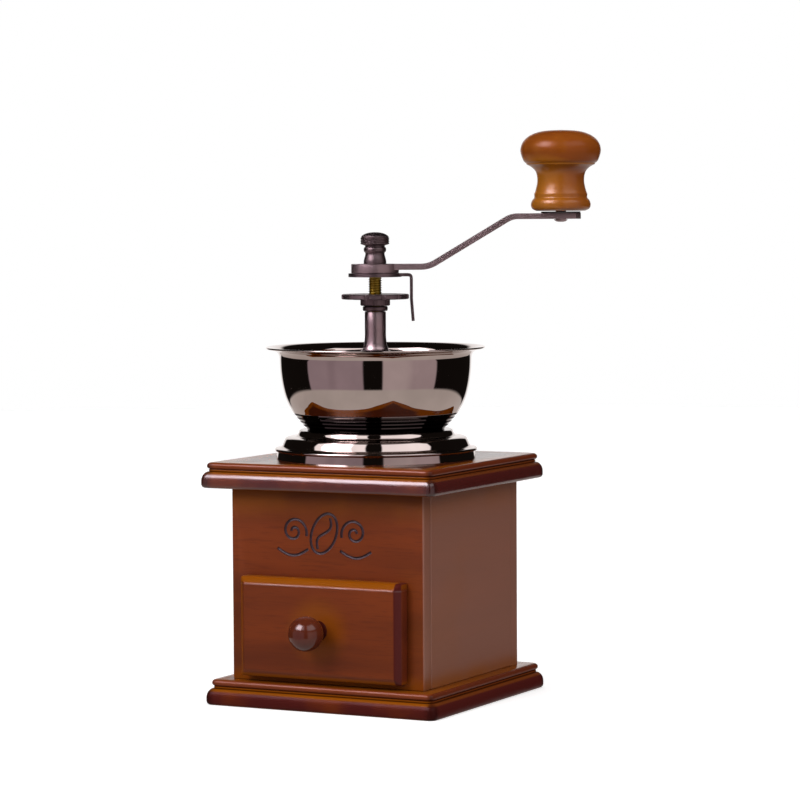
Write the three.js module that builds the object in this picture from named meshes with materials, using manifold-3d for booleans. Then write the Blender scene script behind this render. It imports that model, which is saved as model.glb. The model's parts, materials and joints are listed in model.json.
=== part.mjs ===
// A hand-cranked burr coffee grinder: a moulded wooden case with a drawer, a spun metal hopper,
// a pair of conical burrs hung on a threaded shaft, and a cranked arm with a turned knob.
// Millimetres. +Z is up, the drawer opens along -Y, and the base stands on z = 0.
import * as THREE from 'three';
import { mergeVertices } from 'three/addons/utils/BufferGeometryUtils.js';
import Module from 'manifold-3d';

const wasm = await Module();
wasm.setup();

// ---- driving dimensions -------------------------------------------------------------------------
const CASE_HALF = 45;            // half the width of the square case
const PANEL = 7;                 // thickness of the case panels
const PLATE = 10.7;              // thickness of the moulded base and top plates
const CASE_TOP = 91.2;           // underside of the top plate
const PLATE_TOP = CASE_TOP + PLATE;
const PLATE_HALF = 54;           // half the width of the plates, out to the bullnose
const PLATE_OVERHANG = 1.6;      // the top plate reaches this much further to the left
const PLATE_CORNER = 2.8;        // radius of the plates' vertical corners
const INNER_HALF = CASE_HALF - PANEL;
const BASE_SCREW_X = 39.5;
const BASE_SCREW_Y = CASE_HALF - PANEL / 2;

const FRONT_HALF_X = 37.7;       // drawer front
const FRONT_LOW = 13.1;
const FRONT_HIGH = 54.9;
const FRONT_THICK = 7.8;
const FRONT_BEVEL_DEPTH = 2.1;
const FRONT_BEVEL_INSET = 2.7;
const WINDOW_HALF_X = 33.5;      // opening in the front panel
const WINDOW_LOW = 15;
const WINDOW_HIGH = 51;
const BOX_HALF_X = 33.1;         // drawer box
const BOX_LOW = 15.3;
const BOX_HIGH = 49.5;
const BOX_BACK = 36;
const BOX_WALL = 4;
const BOX_FLOOR = 3;
const KNOB_HEIGHT = (FRONT_LOW + FRONT_HIGH) / 2;

const HOPPER_WALL = 1.2;         // spun sheet of the bowl and its base
const BOWL_FLOOR = 114;          // outside of the bowl's floor, on top of the domed base
const BOWL_FLOOR_TOP = BOWL_FLOOR + HOPPER_WALL;
const THROAT_R = 20.8;           // hole through the bowl's floor and its base

const TUBE_R = 20.4;             // burr housing
const TUBE_BORE_R = 17.5;
const TUBE_LOW = 84;
const FLANGE_R = 27;
const FLANGE_TOP = BOWL_FLOOR_TOP + 2.5;
const HOUSING_SCREW_R = 24.1;    // circle of the four long screws
const STRIP_SCREW_R = (TUBE_R + TUBE_BORE_R) / 2;
const SCREW_CLEAR_R = 1.9;       // holes that the long screws pass

const BURR_LOW = 88.3;
const BURR_HIGH = 106;
const CONE_LOW_R = 14.6;         // inner burr at its foot and at its nose
const CONE_HIGH_R = 7.4;
const BURR_GAP = 0.75;           // radial gap between the tips of the two burrs
const BURR_TEETH = 10;

const BRIDGE_TOP = 145;
const BRIDGE_THICK = 2;
const BRIDGE_LEG = 18.4;         // inner face of the bridge's legs
const BUSH_TOP = 164;

const SHAFT_R = 2.9;
const SHAFT_CLEAR_R = 3.2;
const SHAFT_LOW = 78.5;
const SQUARE_HALF = 2.1;         // squared end that drives the lock plate and the crank
const THREAD_R = 2.1;

const WHEEL_LOW = 166.4;
const WHEEL_DISC_LOW = 169.2;
const WHEEL_TOP = 171.3;
const WHEEL_R = 14.3;
const COLLAR_R = 6.3;
const WHEEL_NOTCHES = 12;

const LOCK_LOW = 178.6;
const LOCK_TOP = 180.1;
const LOCK_R = 11.3;
const LEG_INNER = 14.7;          // inner face of the lock plate's bent leg, just outside the wheel
const LEG_LOW = 160;
const LEG_THICK = 1.3;
const LEG_WIDTH = 7;
const LEG_SPLAY = 0.7;

const HUB_LOW = 180.3;
const HUB_TOP = 184;
const HUB_R = 10.1;
const ARM_THICK = 2.4;
const ARM_WIDTH = 12;
const ARM_BEND_LOW = 22.4;       // radii at which the arm bends up and then level again
const ARM_BEND_HIGH = 57.6;
const ARM_HIGH = 205.1;          // top of the arm's outer, level stretch
const ARM_END_R = 8.5;
const KNOB_AXIS = 78.7;          // distance of the knob's pin from the shaft
const CRANK_ANGLE = THREE.MathUtils.degToRad(27.2);

const KNOB_BASE = 206.1;
const PIN_R = 2.2;

const ROUND = 28;                // sides of a large turned piece
const SMALL = 12;                // sides of a small turned piece

// ---- finishes -----------------------------------------------------------------------------------
const finish = (color, roughness, metalness) => () => (
  new THREE.MeshStandardMaterial({ color, roughness, metalness })
);
const caseWood = finish(0x76321a, 0.35, 0);
const mouldingWood = finish(0x5f2520, 0.25, 0);
const knobWood = finish(0x9a4a10, 0.3, 0);
const drawerKnobWood = finish(0x552323, 0.25, 0);
const plainWood = finish(0xc9a06a, 0.75, 0);
const darkNickel = finish(0x6a6464, 0.12, 1);
const pewter = finish(0x6b5c5c, 0.35, 1);
const brassThread = finish(0x96822a, 0.4, 1);
const castIron = finish(0x46464a, 0.65, 1);
const zincSteel = finish(0xb4b4b8, 0.3, 1);

// ---- helpers ------------------------------------------------------------------------------------
const vec2 = (x, y) => new THREE.Vector2(x, y);

function solid(geometry) {
  const plain = geometry.clone();
  plain.deleteAttribute('normal');
  plain.deleteAttribute('uv');
  const merged = mergeVertices(plain, 1e-4);
  const mesh = new wasm.Mesh({
    numProp: 3,
    vertProperties: merged.attributes.position.array,
    triVerts: new Uint32Array(merged.index.array),
  });
  return new wasm.Manifold(mesh);
}

function geometryOf(body) {
  const mesh = body.getMesh();
  const geometry = new THREE.BufferGeometry();
  geometry.setAttribute('position', new THREE.BufferAttribute(mesh.vertProperties, 3));
  geometry.setIndex(new THREE.BufferAttribute(mesh.triVerts, 1));
  return geometry;
}

function block(x0, x1, y0, y1, z0, z1) {
  const geometry = new THREE.BoxGeometry(x1 - x0, y1 - y0, z1 - z0);
  return geometry.translate((x0 + x1) / 2, (y0 + y1) / 2, (z0 + z1) / 2);
}

// A closed profile of [radius, height] pairs turned about the Z axis.
function turned(profile, sides = ROUND) {
  const points = profile.map(([radius, height]) => vec2(radius, height));
  return new THREE.LatheGeometry(points, sides).rotateX(Math.PI / 2);
}

function rod(radius, z0, z1, sides = SMALL) {
  return turned([[0, z0], [radius, z0], [radius, z1], [0, z1]], sides);
}

function tube(inner, outer, z0, z1, sides = SMALL) {
  return turned([[inner, z0], [outer, z0], [outer, z1], [inner, z1], [inner, z0]], sides);
}

// A flat outline in X and Y, raised from z0 to z1.
function raised(shape, z0, z1, curveSegments = 6) {
  const geometry = new THREE.ExtrudeGeometry(shape, { depth: z1 - z0, bevelEnabled: false, curveSegments });
  return geometry.translate(0, 0, z0);
}

// A closed body through rings of equal point counts, each ring counter-clockwise seen from its end.
function lofted(rings) {
  const count = rings[0].length;
  const middle = (ring) => ring.reduce((sum, p) => sum.add(p), new THREE.Vector3()).divideScalar(count);
  const points = [...rings.flat(), middle(rings[0]), middle(rings[rings.length - 1])];
  const firstCentre = points.length - 2;
  const lastCentre = points.length - 1;
  const lastRing = count * (rings.length - 1);
  const index = [];
  for (let side = 0; side < count; side += 1) {
    const next = (side + 1) % count;
    index.push(firstCentre, next, side);
    index.push(lastCentre, lastRing + side, lastRing + next);
    for (let ring = 0; ring < rings.length - 1; ring += 1) {
      const low = ring * count;
      const high = low + count;
      index.push(low + side, low + next, high + next);
      index.push(low + side, high + next, high + side);
    }
  }
  const geometry = new THREE.BufferGeometry();
  const flat = points.flatMap((p) => [p.x, p.y, p.z]);
  geometry.setAttribute('position', new THREE.Float32BufferAttribute(flat, 3));
  geometry.setIndex(index);
  return geometry;
}

// A rectangle with rounded corners, as a ring of points at one height.
function roundedRing(halfX, halfY, radius, z, steps = 3) {
  const ring = [];
  const corners = [[1, 1], [-1, 1], [-1, -1], [1, -1]];
  corners.forEach(([sx, sy], quarter) => {
    for (let step = 0; step <= steps; step += 1) {
      const angle = (quarter + step / steps) * Math.PI / 2;
      const x = sx * (halfX - radius) + radius * Math.cos(angle);
      const y = sy * (halfY - radius) + radius * Math.sin(angle);
      ring.push(new THREE.Vector3(x, y, z));
    }
  });
  return ring;
}

// A spun shell: the outer profile, and the same profile moved in by the wall thickness.
function spunShell(outer, wall, sides = ROUND) {
  const inner = outer.map((point, i) => {
    const before = outer[Math.max(i - 1, 0)];
    const after = outer[Math.min(i + 1, outer.length - 1)];
    const run = vec2(after[0] - before[0], after[1] - before[1]).normalize();
    return [point[0] - run.y * wall, point[1] + run.x * wall];
  });
  return turned([...outer, ...inner.reverse(), outer[0]], sides);
}

const smooth = (points, count) => (
  new THREE.SplineCurve(points.map(([r, z]) => vec2(r, z))).getPoints(count).map((p) => [p.x, p.y])
);

const BASE_SCREWS = [[-1, -1], [1, -1], [1, 1], [-1, 1]].map(
  ([x, y]) => [x * BASE_SCREW_X, y * BASE_SCREW_Y],
);
const HOUSING_SCREWS = [[1, 0], [0, 1], [-1, 0], [0, -1]].map(
  ([x, y]) => [x * HOUSING_SCREW_R, y * HOUSING_SCREW_R],
);

const object = new THREE.Group();
object.name = 'burr_coffee_grinder';

function add(name, geometry, material, parent = object) {
  const mesh = new THREE.Mesh(geometry, material());
  mesh.name = name;
  parent.add(mesh);
  return mesh;
}

// ---- case ---------------------------------------------------------------------------------------
// Edge moulding of both plates: a full bullnose below, a narrow cove, and a small bead on top.
function platePlan(low) {
  const noseHalf = PLATE_HALF;
  const coveHalf = 51.4;
  const beadHalf = 52.2;
  const noseMid = 3.2;
  const noseTop = 7.2;
  const beadMid = 9.2;
  const profile = [[noseHalf - 1.4, 0], [noseHalf - 0.4, 0.5], [noseHalf, 1.6]];
  for (let step = 0; step <= 4; step += 1) {
    const angle = step / 4 * Math.PI / 2;
    const half = coveHalf + (noseHalf - coveHalf) * Math.cos(angle);
    profile.push([half, noseMid + (noseTop - noseMid) * Math.sin(angle)]);
  }
  profile.push([coveHalf, 7.9], [beadHalf - 0.2, 8.3], [beadHalf, beadMid]);
  profile.push([beadHalf - 0.3, 10.2], [beadHalf - 1, PLATE]);
  return profile.map(([half, z]) => roundedRing(half, half, PLATE_CORNER, low + z, 3));
}

function basePlate() {
  let body = solid(lofted(platePlan(0)));
  for (const [x, y] of BASE_SCREWS) {
    const hole = turned([[0, -1], [4, -1], [4, 0.4], [1.9, 2.8], [1.9, PLATE + 1], [0, PLATE + 1]], SMALL);
    body = body.subtract(solid(hole.translate(x, y, 0)));
  }
  return geometryOf(body);
}

function topPlate() {
  const stretch = 1 + PLATE_OVERHANG / (2 * PLATE_HALF);
  const plan = lofted(platePlan(CASE_TOP)).scale(stretch, 1, 1).translate(-PLATE_OVERHANG / 2, 0, 0);
  let body = solid(plan);
  body = body.subtract(solid(rod(TUBE_R + 1.2, CASE_TOP - 1, PLATE_TOP + 1, ROUND)));
  for (const [x, y] of HOUSING_SCREWS) {
    body = body.subtract(solid(rod(1.6, CASE_TOP + 1, PLATE_TOP + 1).translate(x, y, 0)));
  }
  return geometryOf(body);
}

// Front and back panels run the full width, with eased outer corners; side < 0 is the front.
function facePanel(side) {
  const ease = 1;
  const shape = new THREE.Shape();
  shape.moveTo(-CASE_HALF, -INNER_HALF);
  shape.lineTo(-CASE_HALF, -CASE_HALF + ease);
  shape.absarc(-CASE_HALF + ease, -CASE_HALF + ease, ease, Math.PI, 1.5 * Math.PI);
  shape.absarc(CASE_HALF - ease, -CASE_HALF + ease, ease, 1.5 * Math.PI, 2 * Math.PI);
  shape.lineTo(CASE_HALF, -INNER_HALF);
  let panel = raised(shape, PLATE, CASE_TOP, 2);
  if (side > 0) {
    panel = panel.rotateZ(Math.PI);
  }
  let body = solid(panel);
  for (const x of [-BASE_SCREW_X, BASE_SCREW_X]) {
    body = body.subtract(solid(rod(1.8, PLATE - 1, 27).translate(x, side * BASE_SCREW_Y, 0)));
  }
  return body;
}

function frontPanel() {
  const half = WINDOW_HALF_X;
  const window = block(-half, half, -CASE_HALF - 1, -INNER_HALF + 1, WINDOW_LOW, WINDOW_HIGH);
  return geometryOf(facePanel(-1).subtract(solid(window)));
}

const sidePanel = (x0, x1) => block(x0, x1, -INNER_HALF, INNER_HALF, PLATE, CASE_TOP);

// An L-section strip that carries and guides one side of the drawer.
function drawerGuide(side) {
  const shape = new THREE.Shape([
    vec2(INNER_HALF, PLATE), vec2(INNER_HALF, 30), vec2(WINDOW_HALF_X, 30), vec2(WINDOW_HALF_X, WINDOW_LOW),
    vec2(27, WINDOW_LOW), vec2(27, PLATE),
  ]);
  const strip = raised(shape, -INNER_HALF, INNER_HALF).rotateX(Math.PI / 2);
  return side > 0 ? strip : strip.rotateZ(Math.PI);
}

function baseScrew(x, y) {
  const profile = [[0, 0.3], [3.6, 0.3], [3.6, 0.6], [1.5, 2.7], [1.5, 24], [0, 26]];
  return turned(profile, SMALL).translate(x, y, 0);
}

add('base_plate', basePlate(), mouldingWood);
add('top_plate', topPlate(), mouldingWood);
add('front_panel', frontPanel(), caseWood);
add('back_panel', geometryOf(facePanel(1)), caseWood);
add('left_panel', sidePanel(-CASE_HALF, -INNER_HALF), caseWood);
add('right_panel', sidePanel(INNER_HALF, CASE_HALF), caseWood);
add('drawer_guide_left', drawerGuide(-1), plainWood);
add('drawer_guide_right', drawerGuide(1), plainWood);
BASE_SCREWS.forEach(([x, y], i) => add(`base_screw_${i + 1}`, baseScrew(x, y), zincSteel));

// ---- drawer -------------------------------------------------------------------------------------
function drawerFront() {
  const midZ = KNOB_HEIGHT;
  const halfZ = (FRONT_HIGH - FRONT_LOW) / 2;
  const inset = FRONT_BEVEL_INSET;
  const rings = [
    roundedRing(FRONT_HALF_X, halfZ, 0.8, 0),
    roundedRing(FRONT_HALF_X, halfZ, 0.8, FRONT_THICK - FRONT_BEVEL_DEPTH),
    roundedRing(FRONT_HALF_X - inset, halfZ - inset, 0.5, FRONT_THICK),
  ];
  const slab = lofted(rings).rotateX(Math.PI / 2).translate(0, -CASE_HALF, midZ);
  return geometryOf(solid(slab).subtract(solid(drawerScrewHole())));
}

const alongMinusY = (geometry) => geometry.rotateX(Math.PI / 2).translate(0, -CASE_HALF, KNOB_HEIGHT);

const drawerScrewHole = () => alongMinusY(rod(2, -BOX_WALL - 1, FRONT_THICK + 1));

function drawerInnerFront() {
  const wall = block(-BOX_HALF_X + BOX_WALL, BOX_HALF_X - BOX_WALL, -CASE_HALF, -CASE_HALF + BOX_WALL,
    BOX_LOW, BOX_HIGH);
  return geometryOf(solid(wall).subtract(solid(drawerScrewHole())));
}

// A turned mushroom knob: short neck, then a ball a little flatter than a sphere.
function drawerKnob() {
  const face = FRONT_THICK;
  const outer = smooth([[5.2, 0], [4.2, 1.2], [3.7, 3], [4.6, 4.6], [6.8, 6.4], [7.6, 9.6], [6.9, 13],
    [4.6, 15.8], [0, 17.2]], 11);
  const profile = [[0, 10], [1.9, 10], [1.9, 0], ...outer].map(([r, z]) => [r, z + face]);
  profile[profile.length - 1][0] = 0;
  return alongMinusY(turned(profile, 16));
}

function drawerKnobScrew() {
  const head = -BOX_WALL;
  const tip = FRONT_THICK + 9.5;
  const profile = [[0, head - 2], [2.6, head - 1.6], [3.4, head], [1.5, head], [1.5, tip - 1], [0, tip]];
  return alongMinusY(turned(profile, SMALL));
}

add('drawer_front', drawerFront(), caseWood);
add('drawer_inner_front', drawerInnerFront(), plainWood);
add('drawer_side_left', block(-BOX_HALF_X, -BOX_HALF_X + BOX_WALL, -CASE_HALF, BOX_BACK, BOX_LOW, BOX_HIGH),
  plainWood);
add('drawer_side_right', block(BOX_HALF_X - BOX_WALL, BOX_HALF_X, -CASE_HALF, BOX_BACK, BOX_LOW, BOX_HIGH),
  plainWood);
add('drawer_back', block(-BOX_HALF_X + BOX_WALL, BOX_HALF_X - BOX_WALL, BOX_BACK - BOX_WALL, BOX_BACK,
  BOX_LOW, BOX_HIGH), plainWood);
add('drawer_bottom', block(-BOX_HALF_X + BOX_WALL, BOX_HALF_X - BOX_WALL, -CASE_HALF + BOX_WALL,
  BOX_BACK - BOX_WALL, BOX_LOW, BOX_LOW + BOX_FLOOR), plainWood);
add('drawer_knob', drawerKnob(), drawerKnobWood);
add('drawer_knob_screw', drawerKnobScrew(), zincSteel);

// ---- hopper -------------------------------------------------------------------------------------
const screwHoles = (body, z0, z1) => HOUSING_SCREWS.reduce(
  (left, [x, y]) => left.subtract(solid(rod(SCREW_CLEAR_R, z0, z1).translate(x, y, 0))),
  body,
);

function hopperBowl() {
  const side = smooth([[29.5, 115], [32.2, 118], [35.9, 122.2], [38.3, 127.8], [39.8, 133.6],
    [40.6, 139], [40.7, 144.6]], 7);
  const rim = smooth([[41.2, 146.3], [43, 147.7], [46.5, 148.5]], 2);
  const outer = [[THROAT_R, BOWL_FLOOR], [28.4, BOWL_FLOOR], ...side, ...rim];
  const bowl = solid(spunShell(outer, HOPPER_WALL));
  return geometryOf(screwHoles(bowl, BOWL_FLOOR - 1, BOWL_FLOOR_TOP + 1));
}

// Stepped and domed flange under the bowl.
function hopperBase() {
  const web = BOWL_FLOOR - HOPPER_WALL;
  const outer = [[42.45, PLATE_TOP], [41.95, 104.9], [43, 105.8], [39.95, 107.4], [38.9, 109.8],
    [34.4, 111.4], [31.9, 113.7], [30, BOWL_FLOOR], [THROAT_R, BOWL_FLOOR]];
  const shell = [...outer, [THROAT_R, web], [29.6, web], [33.4, 110.2], [37.6, 108.8], [38.8, 106.4],
    [40.8, 105.2], [41.2, PLATE_TOP], outer[0]];
  return geometryOf(screwHoles(solid(turned(shell)), web - 1, BOWL_FLOOR + 1));
}

add('hopper_bowl', hopperBowl(), darkNickel);
add('hopper_base', hopperBase(), darkNickel);

// ---- burrs and their housing --------------------------------------------------------------------
function burrHousing() {
  const shoulder = 108.5;
  const profile = [[TUBE_BORE_R, TUBE_LOW], [TUBE_R, TUBE_LOW], [TUBE_R, BOWL_FLOOR_TOP],
    [FLANGE_R, BOWL_FLOOR_TOP], [FLANGE_R, FLANGE_TOP], [TUBE_BORE_R - 0.6, FLANGE_TOP],
    [TUBE_BORE_R - 1.2, shoulder], [TUBE_BORE_R, shoulder], [TUBE_BORE_R, TUBE_LOW]];
  const body = screwHoles(solid(turned(profile)), BOWL_FLOOR_TOP - 1, FLANGE_TOP + 1);
  return geometryOf(lowerStripScrewHoles(body));
}

function lowerStripScrewHoles(body) {
  const hole = rod(1, TUBE_LOW - 5, TUBE_LOW + 6.5, 8);
  const front = solid(hole.clone().translate(0, -STRIP_SCREW_R, 0));
  const back = solid(hole.clone().translate(0, STRIP_SCREW_R, 0));
  return body.subtract(front).subtract(back);
}

// Toothed cone: the tooth tips lean round the cone as they rise, as cutting flutes do.
function fluted(lowR, highR, depth, z0, z1, lean) {
  const rings = [];
  const levels = 4;
  const steps = BURR_TEETH * 3;
  for (let level = 0; level <= levels; level += 1) {
    const share = level / levels;
    const radius = THREE.MathUtils.lerp(lowR, highR, share);
    const ring = [];
    for (let step = 0; step < steps; step += 1) {
      const angle = step / steps * 2 * Math.PI + lean * share;
      const cut = step % 3 === 0 ? 0 : depth;
      ring.push(new THREE.Vector3((radius - cut) * Math.cos(angle), (radius - cut) * Math.sin(angle),
        THREE.MathUtils.lerp(z0, z1, share)));
    }
    rings.push(ring);
  }
  return lofted(rings);
}

function innerBurr() {
  const cone = solid(fluted(CONE_LOW_R, CONE_HIGH_R, 1.1, BURR_LOW, BURR_HIGH, 0.7));
  return geometryOf(cone.subtract(solid(rod(SHAFT_CLEAR_R, BURR_LOW - 1, BURR_HIGH + 1))));
}

function outerBurr() {
  const height = BURR_HIGH - BURR_LOW;
  const low = BURR_LOW + 0.3;
  const slope = (CONE_LOW_R - CONE_HIGH_R) / height;
  const lowR = CONE_LOW_R + BURR_GAP + 1.1 + slope;
  const highR = lowR - slope * (height + 2);
  const ring = solid(rod(TUBE_BORE_R - 0.2, low, low + height, ROUND));
  return geometryOf(ring.subtract(solid(fluted(lowR, highR, 1.1, low - 1, low + height + 1, -0.7))));
}

// Strap over the throat that carries the bush: a flat top, two legs and two feet.
function bridge() {
  const outer = BRIDGE_LEG + BRIDGE_THICK;
  const foot = FLANGE_TOP;
  const ease = 1.5;
  const shape = new THREE.Shape([
    vec2(-FLANGE_R, foot), vec2(-BRIDGE_LEG, foot), vec2(-BRIDGE_LEG, BRIDGE_TOP - BRIDGE_THICK),
    vec2(BRIDGE_LEG, BRIDGE_TOP - BRIDGE_THICK), vec2(BRIDGE_LEG, foot), vec2(FLANGE_R, foot),
    vec2(FLANGE_R, foot + BRIDGE_THICK), vec2(outer, foot + BRIDGE_THICK), vec2(outer, BRIDGE_TOP - ease),
    vec2(outer - ease, BRIDGE_TOP), vec2(ease - outer, BRIDGE_TOP), vec2(-outer, BRIDGE_TOP - ease),
    vec2(-outer, foot + BRIDGE_THICK), vec2(-FLANGE_R, foot + BRIDGE_THICK),
  ]);
  const strap = raised(shape, -6, 6).rotateX(Math.PI / 2);
  const body = screwHoles(solid(strap), foot - 1, foot + BRIDGE_THICK + 1);
  return geometryOf(body.subtract(solid(rod(4.6, BRIDGE_TOP - BRIDGE_THICK - 1, BRIDGE_TOP + 1))));
}

// Bush riveted in the bridge: a flange on the strap, a spigot through it and a slim neck above.
function bearingBush() {
  const under = BRIDGE_TOP - BRIDGE_THICK;
  return turned([[SHAFT_CLEAR_R, under], [4.3, under], [4.3, BRIDGE_TOP], [8, BRIDGE_TOP],
    [8, BRIDGE_TOP + 1.6], [5, BRIDGE_TOP + 4.5], [4.5, BRIDGE_TOP + 8], [4.5, BUSH_TOP],
    [SHAFT_CLEAR_R, BUSH_TOP], [SHAFT_CLEAR_R, under]], 16);
}

// Strip across the foot of the tube that steadies the shaft's lower end.
function lowerStrip() {
  const top = TUBE_LOW;
  const half = 3.6;
  const shape = new THREE.Shape();
  shape.absarc(0, STRIP_SCREW_R - 2.2, half, 0, Math.PI);
  shape.absarc(0, 2.2 - STRIP_SCREW_R, half, Math.PI, 2 * Math.PI);
  const body = solid(raised(shape, top - 2, top)).add(solid(rod(5.6, top - 2, top)));
  const bored = body.subtract(solid(rod(SHAFT_CLEAR_R, top - 3, top + 1)));
  return geometryOf(lowerStripScrewHoles(bored));
}

function lowerStripScrew(side) {
  const head = TUBE_LOW - 2;
  const profile = [[0, head - 1.4], [1.5, head - 1.2], [1.9, head], [0.75, head], [0.75, TUBE_LOW + 6],
    [0, TUBE_LOW + 6]];
  return turned(profile, 8).translate(0, side * STRIP_SCREW_R, 0);
}

// Long screws hold the housing and the hopper to the top plate; two of them pass the bridge's feet.
function housingScrew(x, y) {
  const seat = FLANGE_TOP + (Math.abs(x) > 1 ? BRIDGE_THICK : 0);
  const profile = [[0, 96], [1.3, 97.5], [1.3, seat], [3, seat], [2.6, seat + 1.5], [0, seat + 2.3]];
  return turned(profile, SMALL).translate(x, y, 0);
}

class Helix extends THREE.Curve {
  constructor(radius, z0, z1, turns) {
    super();
    Object.assign(this, { radius, z0, z1, turns });
  }

  getPoint(t) {
    const angle = t * this.turns * 2 * Math.PI;
    const height = THREE.MathUtils.lerp(this.z0, this.z1, t);
    return new THREE.Vector3(this.radius * Math.cos(angle), this.radius * Math.sin(angle), height);
  }
}

// Compression spring round the shaft: it holds the inner burr down while the wheel pulls it up.
function burrSpring() {
  const wire = 0.55;
  const section = new THREE.Shape();
  section.absarc(0, 0, wire, 0, 2 * Math.PI);
  const turns = 5;
  const path = new Helix(4.9, BURR_HIGH + 1.1, BRIDGE_TOP - BRIDGE_THICK - 0.9, turns);
  return new THREE.ExtrudeGeometry(section, { steps: turns * 10, curveSegments: 2, extrudePath: path });
}

add('burr_housing', burrHousing(), castIron);
add('outer_burr', outerBurr(), castIron);
add('bridge', bridge(), zincSteel);
add('bearing_bush', bearingBush(), pewter);
add('lower_strip', lowerStrip(), zincSteel);
add('lower_strip_screw_1', lowerStripScrew(-1), zincSteel);
add('lower_strip_screw_2', lowerStripScrew(1), zincSteel);
HOUSING_SCREWS.forEach(([x, y], i) => add(`housing_screw_${i + 1}`, housingScrew(x, y), zincSteel));

// ---- turning parts, in a group turned to the crank's resting angle ------------------------------
const crank = new THREE.Group();
crank.rotation.z = CRANK_ANGLE;
object.add(crank);

const squareHole = (z0, z1) => {
  const half = SQUARE_HALF + 0.3;
  return solid(block(-half, half, -half, half, z0, z1));
};

function driveShaft() {
  const round = turned([[0, SHAFT_LOW], [SHAFT_R - 0.5, SHAFT_LOW], [SHAFT_R, SHAFT_LOW + 0.6],
    [SHAFT_R, LOCK_LOW - 0.3], [0, LOCK_LOW - 0.3]], SMALL);
  const square = block(-SQUARE_HALF, SQUARE_HALF, -SQUARE_HALF, SQUARE_HALF, LOCK_LOW - 1, HUB_TOP - 0.3);
  const stud = turned([[0, HUB_TOP - 1], [THREAD_R, HUB_TOP - 1], [THREAD_R, 193], [THREAD_R - 0.6, 193.8],
    [0, 193.8]], SMALL);
  return geometryOf(solid(round).add(solid(square)).add(solid(stud)));
}

function burrNut() {
  const top = BURR_LOW - 0.3;
  const low = top - 3;
  const profile = [[0, low], [5, low], [5.4, low + 0.4], [5.4, top - 0.4], [5, top], [0, top]];
  const body = solid(turned(profile, 6));
  return geometryOf(body.subtract(solid(rod(SHAFT_CLEAR_R, low - 1, top + 1))));
}

// Notched rim: shallow round notches that the lock plate's leg would click past.
function adjustingWheel() {
  const disc = rod(WHEEL_R, WHEEL_DISC_LOW, WHEEL_TOP, WHEEL_NOTCHES * 3);
  const collar = rod(COLLAR_R, WHEEL_LOW, WHEEL_DISC_LOW + 1, 16);
  const bore = rod(SHAFT_CLEAR_R, WHEEL_LOW - 1, WHEEL_TOP + 1);
  let body = solid(disc).add(solid(collar)).subtract(solid(bore));
  for (let notch = 0; notch < WHEEL_NOTCHES; notch += 1) {
    const angle = (notch + 0.5) / WHEEL_NOTCHES * 2 * Math.PI;
    const cutter = rod(1.1, WHEEL_DISC_LOW - 1, WHEEL_TOP + 1, 6);
    cutter.translate((WHEEL_R + 0.3) * Math.cos(angle), (WHEEL_R + 0.3) * Math.sin(angle), 0);
    body = body.subtract(solid(cutter));
  }
  return geometryOf(body);
}

// Round plate with a tongue bent down past the wheel's rim.
function lockPlate() {
  const plate = solid(rod(LOCK_R, LOCK_LOW, LOCK_TOP, 24));
  const outer = LEG_INNER + LEG_THICK;
  const bend = 2.2;
  const outline = new THREE.Shape();
  outline.moveTo(LOCK_R - 3, LOCK_TOP);
  outline.lineTo(LOCK_R - 3, LOCK_LOW);
  outline.lineTo(LEG_INNER - 1.1, LOCK_LOW);
  outline.lineTo(LEG_INNER, LOCK_LOW - 1.1);
  outline.lineTo(LEG_INNER, WHEEL_DISC_LOW);
  outline.lineTo(LEG_INNER + LEG_SPLAY, LEG_LOW);
  outline.lineTo(outer + LEG_SPLAY, LEG_LOW);
  outline.lineTo(outer, WHEEL_DISC_LOW);
  outline.lineTo(outer, LOCK_TOP - bend);
  outline.absarc(outer - bend, LOCK_TOP - bend, bend, 0, Math.PI / 2);
  const tongue = raised(outline, -LEG_WIDTH / 2, LEG_WIDTH / 2, 4).rotateX(Math.PI / 2);
  return geometryOf(plate.add(solid(tongue)).subtract(squareHole(LOCK_LOW - 1, LOCK_TOP + 1)));
}

// Edge outline of the arm, level - rising - level, as height over radius. Each bend is a curve that
// leaves one straight stretch and joins the next at the same distance from the corner.
function armOutline() {
  const slope = Math.atan2(ARM_HIGH - HUB_TOP, ARM_BEND_HIGH - ARM_BEND_LOW);
  const lean = ARM_THICK * Math.tan(slope / 2);
  const reach = 4.5;
  const along = reach * Math.cos(slope);
  const up = reach * Math.sin(slope);
  const end = KNOB_AXIS + ARM_END_R;
  const shape = new THREE.Shape();
  const bendUp = (x, z) => {
    shape.lineTo(x - reach, z);
    shape.quadraticCurveTo(x, z, x + along, z + up);
  };
  const bendLevel = (x, z) => {
    shape.lineTo(x - along, z - up);
    shape.quadraticCurveTo(x, z, x + reach, z);
  };
  const bendDown = (x, z) => {
    shape.lineTo(x + reach, z);
    shape.quadraticCurveTo(x, z, x - along, z - up);
  };
  const bendBack = (x, z) => {
    shape.lineTo(x + along, z + up);
    shape.quadraticCurveTo(x, z, x - reach, z);
  };
  shape.moveTo(-HUB_R, HUB_TOP);
  bendUp(ARM_BEND_LOW, HUB_TOP);
  bendLevel(ARM_BEND_HIGH, ARM_HIGH);
  shape.lineTo(end, ARM_HIGH);
  shape.lineTo(end, ARM_HIGH - ARM_THICK);
  bendDown(ARM_BEND_HIGH + lean, ARM_HIGH - ARM_THICK);
  bendBack(ARM_BEND_LOW + lean, HUB_TOP - ARM_THICK);
  shape.lineTo(-HUB_R, HUB_TOP - ARM_THICK);
  return shape;
}

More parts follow.
